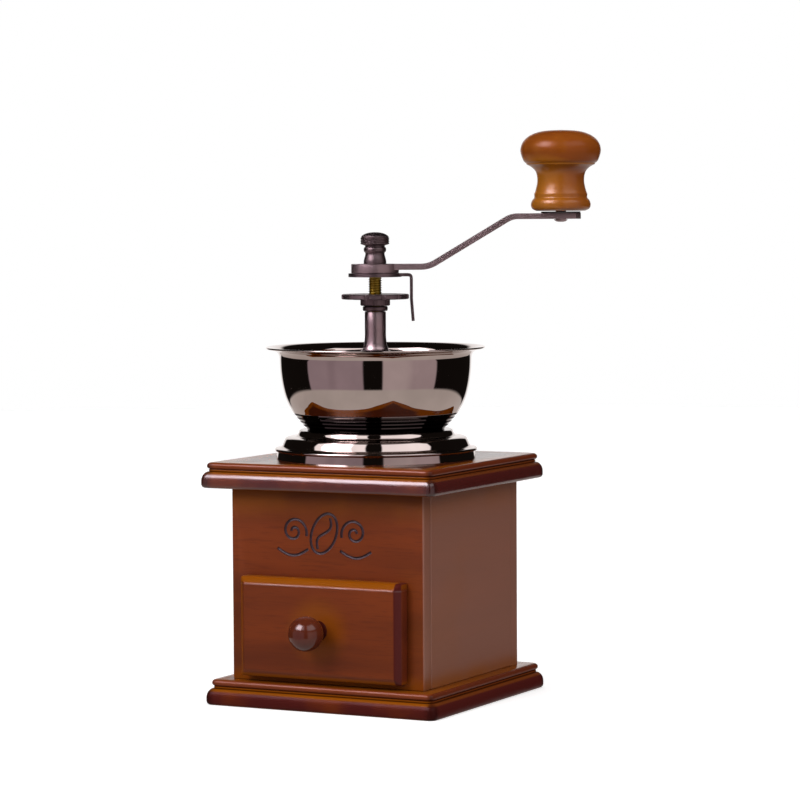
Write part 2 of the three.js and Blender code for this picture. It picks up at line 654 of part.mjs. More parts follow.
function crankArm() {
  const strip = solid(raised(armOutline(), -HUB_R, HUB_R, 3).rotateX(Math.PI / 2));
  const half = ARM_WIDTH / 2;
  const low = HUB_LOW - 5;
  const high = ARM_HIGH + 5;
  const hub = solid(rod(HUB_R, HUB_LOW, HUB_TOP, 24));
  const plan = solid(rod(HUB_R, low, high, 24))
    .add(solid(block(0, KNOB_AXIS, -half, half, low, high)))
    .add(solid(rod(ARM_END_R, low, high, 16).translate(KNOB_AXIS, 0, 0)));
  const pinHole = solid(rod(PIN_R + 0.2, low, high).translate(KNOB_AXIS, 0, 0));
  const arm = strip.intersect(plan).add(hub).subtract(squareHole(HUB_LOW - 1, HUB_TOP + 1));
  return geometryOf(arm.subtract(pinHole));
}

// Blind nut: flared foot, a bead, and a ribbed head with a low dome.
function capNut() {
  const low = HUB_TOP + 0.2;
  return turned([[THREAD_R + 0.3, low], [4.8, low], [4.7, low + 1.4], [4.1, low + 4.2], [4.7, low + 5.4],
    [4.2, low + 7.6], [6, low + 8.2], [6, low + 11], [3.6, low + 12.8], [0, low + 13.3],
    [0, low + 10.2], [THREAD_R + 0.3, low + 10.2], [THREAD_R + 0.3, low]], 16);
}

function knobPin() {
  const under = ARM_HIGH - ARM_THICK;
  return turned([[0, under - 1.2], [1.8, under - 1.1], [3, under - 0.2], [PIN_R, under - 0.2],
    [PIN_R, KNOB_BASE + 20], [0, KNOB_BASE + 21]], SMALL).translate(KNOB_AXIS, 0, 0);
}

const knobWasher = () => tube(PIN_R + 0.3, 8.4, ARM_HIGH, KNOB_BASE - 0.3, 16).translate(KNOB_AXIS, 0, 0);

function crankKnob() {
  const base = KNOB_BASE;
  const foot = smooth([[10.3, 0], [12.2, 1], [12.65, 2.7], [12.1, 4.5], [11, 5.6]], 4);
  const waist = smooth([[11.2, 7.4], [10.6, 8.9], [9.85, 13], [10.5, 16.4], [12.3, 18.4], [14, 19.5]], 5);
  const head = smooth([[14.6, 20.4], [16, 22], [17, 26], [15.6, 29.5], [12.4, 32.1], [7.6, 33.6],
    [0, 34.1]], 7);
  head[head.length - 1][0] = 0;
  const profile = [[0, 22], [PIN_R + 0.3, 22], [PIN_R + 0.3, 0], ...foot, ...waist, ...head];
  return turned(profile.map(([r, z]) => [r, z + base]), 20).translate(KNOB_AXIS, 0, 0);
}

function thrustWasher() {
  const low = BUSH_TOP + 0.2;
  const top = WHEEL_LOW - 0.2;
  return turned([[SHAFT_CLEAR_R, low], [4.9, low], [5.3, low + 0.5], [5.3, top - 0.5], [4.9, top],
    [SHAFT_CLEAR_R, top], [SHAFT_CLEAR_R, low]], 16);
}

add('burr_spring', burrSpring(), zincSteel, crank);
add('thrust_washer', thrustWasher(), pewter, crank);
add('adjusting_wheel', adjustingWheel(), pewter, crank);
add('drive_shaft', driveShaft(), brassThread, crank);
add('inner_burr', innerBurr(), castIron, crank);
add('burr_nut', burrNut(), zincSteel, crank);
add('lock_plate', lockPlate(), pewter, crank);
add('crank_arm', crankArm(), pewter, crank);
add('cap_nut', capNut(), pewter, crank);
add('knob_pin', knobPin(), pewter, crank);
add('knob_washer', knobWasher(), castIron, crank);
add('crank_knob', crankKnob(), knobWood, crank);

export default object;
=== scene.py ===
"""Looks of a hand-cranked burr coffee grinder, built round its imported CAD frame."""

import json
import math

import bmesh
import bpy
from mathutils import Matrix, Vector


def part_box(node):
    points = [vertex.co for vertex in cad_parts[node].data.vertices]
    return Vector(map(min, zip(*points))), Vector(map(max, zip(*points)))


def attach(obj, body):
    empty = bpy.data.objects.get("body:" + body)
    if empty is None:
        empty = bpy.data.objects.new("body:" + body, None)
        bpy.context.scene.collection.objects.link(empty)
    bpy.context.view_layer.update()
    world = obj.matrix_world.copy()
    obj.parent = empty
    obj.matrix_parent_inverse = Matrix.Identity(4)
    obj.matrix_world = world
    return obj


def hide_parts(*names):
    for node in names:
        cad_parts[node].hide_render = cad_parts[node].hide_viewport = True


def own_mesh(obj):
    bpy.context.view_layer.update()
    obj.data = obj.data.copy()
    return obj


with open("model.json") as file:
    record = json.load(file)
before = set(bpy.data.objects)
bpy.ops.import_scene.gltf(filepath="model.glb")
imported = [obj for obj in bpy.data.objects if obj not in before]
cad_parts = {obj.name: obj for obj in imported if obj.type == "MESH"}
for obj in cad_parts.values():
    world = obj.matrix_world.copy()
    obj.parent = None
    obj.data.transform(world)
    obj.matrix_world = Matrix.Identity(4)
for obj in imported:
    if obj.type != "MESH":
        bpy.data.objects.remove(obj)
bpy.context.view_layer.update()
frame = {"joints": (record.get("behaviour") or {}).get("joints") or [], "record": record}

bl_info = {
    "name": "Burr coffee grinder",
    "version": (1, 0, 0),
    "blender": (4, 5, 0),
    "location": "3D View > Sidebar > Grinder",
    "description": "Models and finishes a box mill with a hopper, a crank and a drawer",
    "category": "Object",
}

MM = 0.001
BODIES = frame["record"]["behaviour"]["bodies"]
BODY_OF = {node: body for body, nodes in BODIES.items() for node in nodes}
JOINTS = {joint["name"]: joint for joint in frame["joints"]}
KNOB_AT = Vector(JOINTS["knob_spin"]["pos_m"])
CRANK_ANGLE = math.atan2(KNOB_AT.y, KNOB_AT.x)
PLATE_HALF = 54.0 * MM
POINT_RADIUS = 0.00001


def low(node):
    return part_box(node)[0]


def high(node):
    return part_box(node)[1]


def centre_of(node):
    return (low(node) + high(node)) / 2


# ---- settings ---------------------------------------------------------------------------------


def length(name, description, millimetres):
    return bpy.props.FloatProperty(
        name=name, description=description, default=millimetres * MM, unit="LENGTH"
    )


def colour(name, description, red, green, blue):
    return bpy.props.FloatVectorProperty(
        name=name, description=description, subtype="COLOR", size=3, min=0, max=1,
        default=(red, green, blue),
    )


class GrinderSizes(bpy.types.PropertyGroup):
    nose_radius: length("Corner radius", "Radius of the plates' vertical corners", 2.8)
    panel_ease: length("Panel edge", "Rounding of the case panels' edges", 0.9)
    drawer_ease: length("Drawer edge", "Rounding of the drawer front's edges", 0.7)
    plank_ease: length("Plank edge", "Rounding of the drawer box's edges", 0.4)
    metal_ease: length("Metal edge", "Rounding of bent and turned metal edges", 0.25)
    groove_width: length("Groove width", "Width of the carved strokes", 1.3)
    thread_pitch: length("Thread pitch", "Rise of the shaft's thread in one turn", 1.0)
    spring_wire: length("Spring wire", "Radius of the spring's wire", 0.55)


class GrinderColours(bpy.types.PropertyGroup):
    red_stain: colour("Red stain", "Sprayed stain on the open faces", 0.190, 0.036, 0.008)
    brown_stain: colour("Brown stain", "Darker streaks of the grain", 0.115, 0.023, 0.007)
    # Colour of the case's sides: partly a duller stain, partly a painted sheen.
    side_stain_and_sheen: colour("Side stain and sheen", "Duller stain on the case's sides", 0.270, 0.095, 0.052)
    honey: colour("Honey stain", "Amber undercoat where the stain is thin", 0.260, 0.066, 0.002)
    cherry: colour("Cherry stain", "Dark stain on mouldings", 0.075, 0.010, 0.008)
    nose_red: colour("Red nose", "Redder patches of the mouldings", 0.130, 0.022, 0.006)
    # The crank knob's two colours: amber on the lit side; brown for the painted shade on the other side, and for the
    # head.
    knob_amber: colour("Knob amber", "Light side of the crank knob", 0.360, 0.115, 0.004)
    knob_brown_and_shade: colour("Knob brown", "Dark side of the crank knob", 0.230, 0.050, 0.003)
    bare_wood: colour("Bare wood", "Unfinished drawer box", 0.560, 0.370, 0.190)
    groove: colour("Groove", "Burnt colour in the carved strokes", 0.020, 0.008, 0.012)
    nickel: colour("Dark nickel", "Mirror plating of the hopper", 0.520, 0.450, 0.420)
    pewter: colour("Pewter", "Satin plating of the crank and its fittings", 0.400, 0.310, 0.320)
    brass: colour("Brass", "Threaded shaft", 0.480, 0.360, 0.060)
    iron: colour("Cast iron", "Burrs and their housing", 0.130, 0.130, 0.135)
    zinc: colour("Zinc", "Bridge, spring and screws", 0.620, 0.620, 0.640)


def sizes():
    return bpy.context.scene.grinder_sizes


def colours():
    return bpy.context.scene.grinder_colours


# ---- modelling helpers ------------------------------------------------------------------------


def deselect_all():
    if bpy.context.object and bpy.context.object.mode != "OBJECT":
        bpy.ops.object.mode_set(mode="OBJECT")
    bpy.ops.object.select_all(action="DESELECT")


def only(obj):
    deselect_all()
    bpy.context.view_layer.objects.active = obj
    obj.select_set(True)
    return obj


def edit(obj, select_mode="VERT", action="DESELECT"):
    only(obj)
    bpy.ops.object.mode_set(mode="EDIT")
    bpy.ops.mesh.select_mode(type=select_mode)
    bpy.ops.mesh.select_all(action=action)


def choose(obj, kind, wanted):
    """Selects the vertices, edges or faces for which a test holds, in edit mode."""
    mesh = bmesh.from_edit_mesh(obj.data)
    for element in getattr(mesh, kind):
        element.select_set(wanted(element))
    bmesh.update_edit_mesh(obj.data)


def raise_ring(radius, height, next_radius, next_height, at=(0, 0)):
    """Extrudes the selected ring to the next height and resizes it there."""
    bpy.ops.mesh.extrude_region_move(TRANSFORM_OT_translate={"value": (0, 0, next_height - height)})
    factor = next_radius / radius
    bpy.ops.transform.resize(value=(factor, factor, 1), center_override=(at[0], at[1], next_height))
    return next_radius, next_height


def stop_edit():
    bpy.ops.object.mode_set(mode="OBJECT")


def set_places(obj):
    """Moves the object's place, turn and scale into its mesh."""
    only(obj)
    bpy.ops.object.transform_apply(location=True, rotation=True, scale=True)
    return obj


def apply_modifier(obj, kind, **settings):
    only(obj)
    modifier = obj.modifiers.new(kind.title(), kind)
    for name, value in settings.items():
        setattr(modifier, name, value)
    bpy.ops.object.modifier_apply(modifier=modifier.name)
    return obj


def ease(obj, width, segments=2, angle=30):
    return apply_modifier(
        obj, "BEVEL", width=width, segments=segments, limit_method="ANGLE",
        angle_limit=math.radians(angle),
    )


def smooth(obj, angle=32):
    only(obj)
    bpy.ops.object.shade_smooth_by_angle(angle=math.radians(angle))
    return obj


def tidy_normals(obj):
    edit(obj, action="SELECT")
    bpy.ops.mesh.remove_doubles(threshold=0.000002)
    bpy.ops.mesh.normals_make_consistent(inside=False)
    stop_edit()
    return obj


def boolean(obj, cutter, operation="DIFFERENCE", **settings):
    apply_modifier(obj, "BOOLEAN", object=cutter, operation=operation, solver="EXACT", **settings)
    bpy.data.objects.remove(cutter)
    return obj


def join(pieces, name):
    only(pieces[0])
    for piece in pieces:
        piece.select_set(True)
    bpy.ops.object.join()
    pieces[0].name = name
    return pieces[0]


def block(name, lowest, highest, round_by=0.0, segments=2):
    """A board or bar between two corners, its edges eased."""
    lowest, highest = Vector(lowest), Vector(highest)
    deselect_all()
    bpy.ops.mesh.primitive_cube_add(size=1, location=(lowest + highest) / 2)
    obj = bpy.context.object
    obj.name = name
    obj.scale = highest - lowest
    set_places(obj)
    if round_by:
        ease(obj, round_by, segments)
    return obj


def drum(name, radius, bottom, top, at=(0, 0), sides=48):
    deselect_all()
    bpy.ops.mesh.primitive_cylinder_add(
        vertices=sides, radius=radius, depth=top - bottom, location=(at[0], at[1], (top + bottom) / 2)
    )
    obj = bpy.context.object
    obj.name = name
    return set_places(obj)


def turn(name, outline, sides=96, at=(0, 0)):
    """Turns an outline of (radius, height) pairs: a ring of edges is extruded, moved and resized
    from point to point. It closes on itself where the last point is the first one."""
    start_radius, start_height = outline[0]
    radius, height = max(start_radius, POINT_RADIUS), start_height
    deselect_all()
    bpy.ops.mesh.primitive_circle_add(
        vertices=sides, radius=radius, location=(at[0], at[1], height), fill_type="NOTHING"
    )
    obj = bpy.context.object
    obj.name = name
    closes = outline[-1] == outline[0]
    set_places(obj)
    edit(obj, "EDGE", "SELECT")
    if not closes:
        bpy.ops.mesh.edge_face_add()
    for next_radius, next_height in outline[1:]:
        radius, height = raise_ring(radius, height, max(next_radius, POINT_RADIUS), next_height, at)
    if not closes and radius <= 2 * POINT_RADIUS:
        bpy.ops.mesh.merge(type="CENTER")
    stop_edit()
    return tidy_normals(obj)


def curve_through(points, count):
    """Points along a smooth curve through a few given (radius, height) pairs."""
    padded = [points[0], *points, points[-1]]
    spans = len(points) - 1
    result = []
    for i in range(count + 1):
        place = i / count * spans
        span = min(int(place), spans - 1)
        t = place - span
        a, b, c, d = (Vector(padded[span + k]) for k in range(4))
        point = 0.5 * (2 * b + (c - a) * t + (2 * a - 5 * b + 4 * c - d) * t * t
                       + (3 * b - a - 3 * c + d) * t * t * t)
        result.append((max(point.x, 0.0), point.y))
    return result


def wire(name, points, radius):
    """A round wire along points, with closed ends."""
    data = bpy.data.curves.new(name, "CURVE")
    data.dimensions = "3D"
    spline = data.splines.new("POLY")
    spline.points.add(len(points) - 1)
    for end, point in zip(spline.points, points):
        end.co = (*point, 1)
    data.bevel_depth = radius
    data.bevel_resolution = 3
    data.use_fill_caps = True
    obj = bpy.data.objects.new(name, data)
    bpy.context.scene.collection.objects.link(obj)
    only(obj)
    bpy.ops.object.convert(target="MESH")
    return tidy_normals(bpy.context.object)


def rounded(corners, radius, steps=6):
    """A path of (x, z) points whose inner corners are rounded off."""
    path = [corners[0]]
    for before, corner, after in zip(corners, corners[1:], corners[2:]):
        before, corner, after = Vector(before), Vector(corner), Vector(after)
        to_before, to_after = (before - corner).normalized(), (after - corner).normalized()
        half = to_before.angle(to_after) / 2
        reach = min(radius / math.tan(half), 0.48 * (before - corner).length, 0.48 * (after - corner).length)
        for step in range(steps + 1):
            t = step / steps
            point = ((1 - t) ** 2 * (corner + to_before * reach) + 2 * t * (1 - t) * corner
                     + t * t * (corner + to_after * reach))
            path.append(tuple(point))
    return path + [corners[-1]]


def strip(name, path, width, thickness):
    """A flat bar bent along a path of (x, z) points, its width along Y."""
    deselect_all()
    bpy.ops.mesh.primitive_plane_add(size=1, location=(0, 0, 0))
    obj = bpy.context.object
    obj.name = name
    edit(obj, "VERT")
    mesh = bmesh.from_edit_mesh(obj.data)
    for vertex in mesh.verts:
        x, z = path[1] if vertex.co.x > 0 else path[0]
        vertex.co = (x, math.copysign(width / 2, vertex.co.y), z)
    bmesh.update_edit_mesh(obj.data)
    bpy.ops.mesh.select_mode(type="EDGE")
    bpy.ops.mesh.select_all(action="DESELECT")
    end = Vector((path[1][0], 0, path[1][1]))
    choose(obj, "edges", lambda edge: ((edge.verts[0].co + edge.verts[1].co) / 2 - end).length < 1e-7)
    for before, after in zip(path[1:], path[2:]):
        step = (after[0] - before[0], 0, after[1] - before[1])
        bpy.ops.mesh.extrude_region_move(TRANSFORM_OT_translate={"value": step})
    stop_edit()
    apply_modifier(obj, "SOLIDIFY", thickness=thickness, offset=-1.0, use_even_offset=True)
    return tidy_normals(obj)


def towards_crank(obj):
    """Turns a piece that was made along X into the crank's direction."""
    obj.data.transform(Matrix.Rotation(CRANK_ANGLE, 4, "Z"))
    return obj


def copies(obj, names, places):
    """Copies of a piece made round the origin, one to each place, each with its own mesh."""
    made = []
    for name, place in zip(names, places):
        other = obj.copy()
        other.data = obj.data.copy()
        other.name = name
        bpy.context.scene.collection.objects.link(other)
        other.data.transform(Matrix.Translation(place))
        made.append(other)
    bpy.data.objects.remove(obj)
    return made


def arc(centre, radius, start, end, count):
    """Points on an arc in the (radius, height) plane, angles in degrees."""
    points = []
    for i in range(count + 1):
        angle = math.radians(start + (end - start) * i / count)
        points.append((centre[0] + radius * math.cos(angle), centre[1] + radius * math.sin(angle)))
    return points


def in_mm(points, height_shift=0.0):
    return [(r * MM, (z + height_shift) * MM) for r, z in points]


def stand_for(obj, node, *more_nodes):
    """The piece replaces its CAD nodes, which are hidden, and moves with their body."""
    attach(obj, BODY_OF[node])
    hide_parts(node, *more_nodes)
    return obj


def finish(obj, material, angle=32):
    obj.data.materials.clear()
    obj.data.materials.append(material)
    return smooth(obj, angle)


def fit(obj, node, material, angle=32):
    """Finishes a piece and puts it in its CAD node's place."""
    finish(obj, material, angle)
    return stand_for(obj, node)


# ---- material helpers -------------------------------------------------------------------------


class Nodes:
    """A node tree under construction, with short calls for the nodes it uses."""

    def __init__(self, tree):
        self.tree = tree

    def node(self, kind, settings=None, **inputs):
        node = self.tree.nodes.new("ShaderNode" + kind)
        for name, value in (settings or {}).items():
            setattr(node, name, value)
        for name, value in inputs.items():
            self.put(node.inputs[name.replace("_", " ")], value)
        return node

    def put(self, socket, value):
        if isinstance(value, bpy.types.NodeSocket):
            self.tree.links.new(value, socket)
        elif socket.type == "RGBA" and len(value) == 3:
            socket.default_value = (*value, 1)
        else:
            socket.default_value = value

    def math(self, operation, first, second=0.0, third=0.0):
        node = self.tree.nodes.new("ShaderNodeMath")
        node.operation = operation
        for socket, value in zip(node.inputs, (first, second, third)):
            self.put(socket, value)
        return node.outputs[0]

    def times(self, first, second):
        return self.math("MULTIPLY", first, second)

    def plus(self, first, second):
        return self.math("ADD", first, second)

    def minus(self, first, second):
        return self.math("SUBTRACT", first, second)

    def larger(self, first, second):
        return self.math("MAXIMUM", first, second)

    def size_of(self, value):
        return self.math("ABSOLUTE", value)

    def vector_math(self, operation, first, second):
        node = self.node("VectorMath", {"operation": operation})
        self.put(node.inputs[0], first)
        self.put(node.inputs[1], second)
        return node.outputs["Value"]

    def ramp(self, value, start, end, at_start=0.0, at_end=1.0, kind="SMOOTHSTEP"):
        node = self.node("MapRange", {"interpolation_type": kind, "clamp": True}, Value=value)
        for socket, number in zip(node.inputs[1:5], (start, end, at_start, at_end)):
            self.put(socket, number)
        return node.outputs[0]

    def noise(self, vector, scale, detail=4.0, roughness=0.55):
        node = self.node("TexNoise", Vector=vector, Scale=scale, Detail=detail, Roughness=roughness)
        return node.outputs["Fac"]

    def mix(self, share, first, second):
        node = self.tree.nodes.new("ShaderNodeMix")
        node.data_type = "RGBA"
        self.put(node.inputs["Factor"], share)
        self.put(node.inputs[6], first)
        self.put(node.inputs[7], second)
        return node.outputs[2]

    def band(self, value, start, end, soft):
        """1 between two values, with soft ends."""
        rise = self.ramp(value, start - soft, start + soft)
        fall = self.ramp(value, end - soft, end + soft, 1.0, 0.0)
        return self.times(rise, fall)


class Finish(Nodes):
    """A material in object coordinates round one principled shader."""

    def __init__(self, name, roughness, metallic=0.0):
        self.material = bpy.data.materials.new(name)
        self.material.use_nodes = True
        super().__init__(self.material.node_tree)
        self.shader = self.tree.nodes["Principled BSDF"]
        self.shader.inputs["Roughness"].default_value = roughness
        self.shader.inputs["Metallic"].default_value = metallic
        self.place = self.tree.nodes.new("ShaderNodeTexCoord").outputs["Object"]

    def axis(self, name):
        return self.node("SeparateXYZ", Vector=self.place).outputs[name]

    def scaled(self, scale):
        return self.node("Mapping", Vector=self.place, Scale=scale).outputs[0]

    def away_from(self, point):
        return self.vector_math("DISTANCE", self.place, point)

    def bump(self, height, strength, distance):
        node = self.node("Bump", Strength=strength, Distance=distance, Height=height)
        self.tree.links.new(node.outputs[0], self.shader.inputs["Normal"])

    def set(self, socket, value):
        self.put(self.shader.inputs[socket], value)
        return self


def shaded(tint, share):
    return tuple(share * value for value in tint)


def stretched(along, across, axis):
    """Scale of a grain pattern whose lines run along one axis."""
    return tuple(along if name == axis else across for name in "XYZ")


def near(build, value, place, reach):
    """1 where a coordinate is at a place, falling to 0 over a reach."""
    return build.ramp(build.size_of(build.minus(value, place)), 0, reach, 1, 0)


def grain_layers(build, axis):
    """Two layers of wood grain: broad bands and fine pores, both drawn out along one axis."""
    broad = build.noise(build.scaled(stretched(6, 60, axis)), 1.0, 3.0, 0.5)
    fine = build.noise(build.scaled(stretched(28, 900, axis)), 1.0, 5.0, 0.6)
    return broad, fine


def lacquer(build, fine, level=0.5, strength=0.06):
    """Thin varnish: the pores still show in the shine."""
    build.shader.inputs["Specular IOR Level"].default_value = level
    build.bump(fine, strength, 0.0002)


def stained(build, axis):
    """Red-brown stain with darker bands and short dark flecks along the grain."""
    c = colours()
    broad, fine = grain_layers(build, axis)
    tone = build.mix(build.ramp(broad, 0.35, 0.68), c.brown_stain, c.red_stain)
    flecks = build.noise(build.scaled(stretched(110, 1500, axis)), 1.0, 2.0, 0.5)
    tone = build.mix(build.times(build.ramp(flecks, 0.5, 0.72), 0.6), tone, c.brown_stain)
    return tone, build.math("MULTIPLY_ADD", flecks, 1.5, fine)


def case_wood(name, axis, low_edge, high_edge):
    """Sprayed stain: red-brown on the open face, honey along the plates; the case's two sides,
    with the ends of the front and back boards, are duller and browner: a thinner stain and a painted sheen."""
    build = Finish(name, 0.36)
    stain, pores = stained(build, axis)
    side = build.ramp(build.size_of(build.axis("X")), 0.0443, 0.0449)
    # Painted sheen: the sides and the boards' ends get a duller, greyer brown.
    stain = build.mix(build.times(side, 0.75), stain, colours().side_stain_and_sheen)
    height = build.axis("Z")
    thin = build.plus(near(build, height, low_edge, 0.008), near(build, height, high_edge, 0.016))
    cloud = build.noise(build.place, 42.0, 2.0)
    thin = build.times(thin, build.ramp(cloud, 0.3, 0.7, 0.45, 1.0))
    thin = build.plus(thin, build.ramp(build.noise(build.place, 19.0, 2.0), 0.48, 0.75, 0.0, 0.3))
    build.set("Base Color", build.mix(build.math("MINIMUM", thin, 1.0), stain, colours().honey))
    lacquer(build, pores, 0.2, 0.12)
    build.set("Roughness", build.ramp(side, 0.0, 1.0, 0.36, 0.5))
    build.set("Specular IOR Level", build.ramp(side, 0.0, 1.0, 0.2, 1.8))
    return build.material


def moulding_wood(name, bottom, shine, level):
    """Dark cherry on the bullnose, red-brown on the bead, honey in the step and on the bead's
    crest, brown on the flat; painted shade in the creases and on the right side; darker corners."""
    c = colours()
    build = Finish(name, 0.3)
    fine = grain_layers(build, "X")[1]
    height = build.minus(build.axis("Z"), bottom)
    cloud = build.noise(build.place, 34.0, 3.0)
    nose = build.mix(build.ramp(cloud, 0.4, 0.66), c.cherry, c.nose_red)
    # Painted shade: on the right-hand side (+X) the bullnose turns cherry, the bead a darker red and the honey
    # fainter.
    side = build.ramp(build.axis("X"), 0.0505, 0.0512)
    nose = build.mix(side, nose, c.cherry)
    bead = build.mix(side, c.red_stain, c.nose_red)
    face = build.mix(build.ramp(height, 0.0079, 0.0083), nose, bead)
    across, along = build.size_of(build.axis("X")), build.size_of(build.axis("Y"))
    reach = build.larger(across, along)
    flat = build.ramp(height, 0.0105, 0.01068)
    crest = build.times(flat, build.ramp(reach, 0.0440, 0.0475, 0.0, 0.75))
    face = build.mix(flat, face, shaded(c.brown_stain, 0.6))
    honey = build.plus(build.band(height, 0.0058, 0.0077, 0.0004), crest)
    honey = build.plus(honey, build.times(build.ramp(height, 0.0006, 0.0002), 0.8))
    honey = build.times(honey, build.ramp(side, 0.0, 1.0, 1.0, 0.45))
    tone = build.mix(build.math("MINIMUM", honey, 1.0), face, c.honey)
    # Painted shade: dark lines in the two creases. The vertical corners below the flat are darkened as well.
    crease = build.larger(near(build, height, 0.0079, 0.0003), near(build, height, 0.00692, 0.0003))
    corner = build.math("MINIMUM", across, along)
    corner = build.times(build.ramp(corner, 0.0485, 0.0525), build.ramp(height, 0.0105, 0.0100))
    shade = build.larger(crease, build.times(corner, 0.85))
    dark = shaded(c.cherry, 0.25)
    build.set("Base Color", build.mix(build.times(shade, 0.85), tone, dark))
    smooth_share = build.ramp(height, 0.0103, 0.0106, shine, 0.15)
    build.set("Roughness", build.math("MULTIPLY_ADD", build.ramp(cloud, 0.35, 0.7), 0.05, smooth_share))
    dull = build.band(height, 0.0066, 0.0080, 0.0002)
    gloss = build.ramp(height, 0.0078, 0.0082, level, 0.25)
    gloss = build.times(gloss, build.ramp(flat, 0.0, 1.0, 1.0, 0.3))
    build.set("Specular IOR Level", build.times(gloss, build.ramp(dull, 0.0, 1.0, 1.0, 0.1)))
    wave = build.noise(build.scaled((40, 40, 160)), 1.0, 2.0)
    build.bump(build.math("MULTIPLY_ADD", fine, 0.15, wave), 0.35, 0.0008)
    return build.material


def crank_knob_wood():
    """Amber going to brown: painted shade towards the right-hand side, and browner over the head."""
    c = colours()
    build = Finish("crank_knob_lacquer", 0.3)
    fine = build.noise(build.scaled((300, 300, 40)), 1.0, 4.0)
    height = build.minus(build.axis("Z"), low("crank_knob").z)
    side = build.math("DIVIDE", build.minus(build.axis("X"), KNOB_AT.x), 0.017)
    # Painted shade: browner towards +X, the knob's right-hand side.
    shade = build.ramp(side, -0.35, 0.9, 0.0, 0.85)
    head = build.ramp(height, 0.0205, 0.0245, 0.0, 0.75)
    shade = build.math("MINIMUM", build.plus(shade, head), 1.0)
    lip = near(build, height, 0.0195, 0.0014)
    shade = build.times(shade, build.minus(1.0, lip))
    cloud = build.ramp(build.noise(build.place, 60.0, 3.0), 0.35, 0.7, -0.15, 0.2)
    shade = build.plus(shade, cloud)
    build.set("Base Color", build.mix(build.ramp(shade, 0.0, 1.0, 0.0, 1.0, "LINEAR"), c.knob_amber, c.knob_brown_and_shade))
    lacquer(build, fine)
    build.set("Specular IOR Level", build.ramp(height, 0.017, 0.021, 0.55, 0.25))
    return build.material


def drawer_knob_wood():
    c = colours()
    build = Finish("drawer_knob_lacquer", 0.17)
    broad, fine = grain_layers(build, "Y")
    face = high("drawer_knob").y
    # Painted shadow: the neck next to the drawer front is darkened to half cherry, and its shine is turned down.
    neck = build.ramp(build.axis("Y"), face - 0.0062, face - 0.0045)
    tone = build.mix(build.ramp(broad, 0.3, 0.7), c.cherry, c.brown_stain)
    build.set("Base Color", build.mix(neck, tone, shaded(c.cherry, 0.5)))
    lacquer(build, fine, 0.5)
    build.set("Specular IOR Level", build.ramp(neck, 0.0, 1.0, 0.5, 0.05))
    return build.material


def bare_wood(name, axis):
    c = colours()
    build = Finish(name, 0.72)
    broad, fine = grain_layers(build, axis)
    dark = shaded(c.bare_wood, 0.72)
    tone = build.mix(build.ramp(broad, 0.3, 0.7), dark, c.bare_wood)
    tone = build.mix(build.times(build.ramp(fine, 0.5, 0.8), 0.35), tone, dark)
    build.set("Base Color", tone)
    build.bump(fine, 0.25, 0.0003)
    return build.material


def groove_finish():
    build = Finish("burnt_groove", 0.55)
    tone = build.noise(build.place, 700.0, 3.0)
    light = shaded(colours().groove, 2.2)
    build.set("Base Color", build.mix(build.ramp(tone, 0.4, 0.75), colours().groove, light))
    return build.material


def plated(name, tint, roughness, wear=0.04, grain=0.0, axis="Z", shaded_crevice=None):
    """Plated metal: faint clouding in the polish and, where asked, brushed lines or a band of painted shade."""
    build = Finish(name, roughness, 1.0)
    cloud = build.noise(build.place, 55.0, 3.0)
    dark = shaded(tint, 0.86)
    tone = build.mix(build.ramp(cloud, 0.3, 0.75), dark, tuple(tint))
    if shaded_crevice:
        # Painted shade: the band is darkened to an eighth of the tint.
        tone = build.mix(build.band(build.axis("Z"), *shaded_crevice, 0.0004), tone, shaded(tint, 0.12))
    build.set("Base Color", tone)
    build.set("Roughness", build.ramp(cloud, 0.3, 0.8, roughness, roughness + wear))
    if grain:
        lines = build.noise(build.scaled(stretched(60, 2600, axis)), 1.0, 3.0)
        build.bump(lines, grain, 0.00004)
    return build.material


def cast_iron(name):
    build = Finish(name, 0.55, 0.85)
    pits = build.noise(build.place, 1500.0, 5.0, 0.7)
    patches = build.noise(build.place, 130.0, 3.0)
    dark = shaded(colours().iron, 0.55)
    build.set("Base Color", build.mix(build.ramp(patches, 0.3, 0.7), dark, tuple(colours().iron)))
    build.set("Roughness", build.ramp(patches, 0.3, 0.7, 0.45, 0.65))
    build.bump(pits, 0.5, 0.0002)
    return build.material


# ---- case -------------------------------------------------------------------------------------


def plate_outline(bottom):
    """Half-width and height up the moulded edge: bullnose, small step, bead."""
    nose = [(52.4, 0.0), (53.2, 0.12), (53.75, 0.55), (54.0, 1.4)]
    crown = [(51.5 + 2.5 * math.cos(math.radians(a)), 3.0 + 3.9 * math.sin(math.radians(a)))
             for a in range(0, 91, 9)]
    step = [(51.35, 6.95), (51.5, 7.05), (51.62, 7.35), (51.55, 7.75), (51.3, 8.0)]
    bead = [(51.75, 8.15), (52.05, 8.45), (52.2, 9.0), (52.15, 9.6), (51.9, 10.15), (51.4, 10.55), (50.7, 10.7)]
    return in_mm(nose + crown + step + bead, height_shift=bottom / MM)


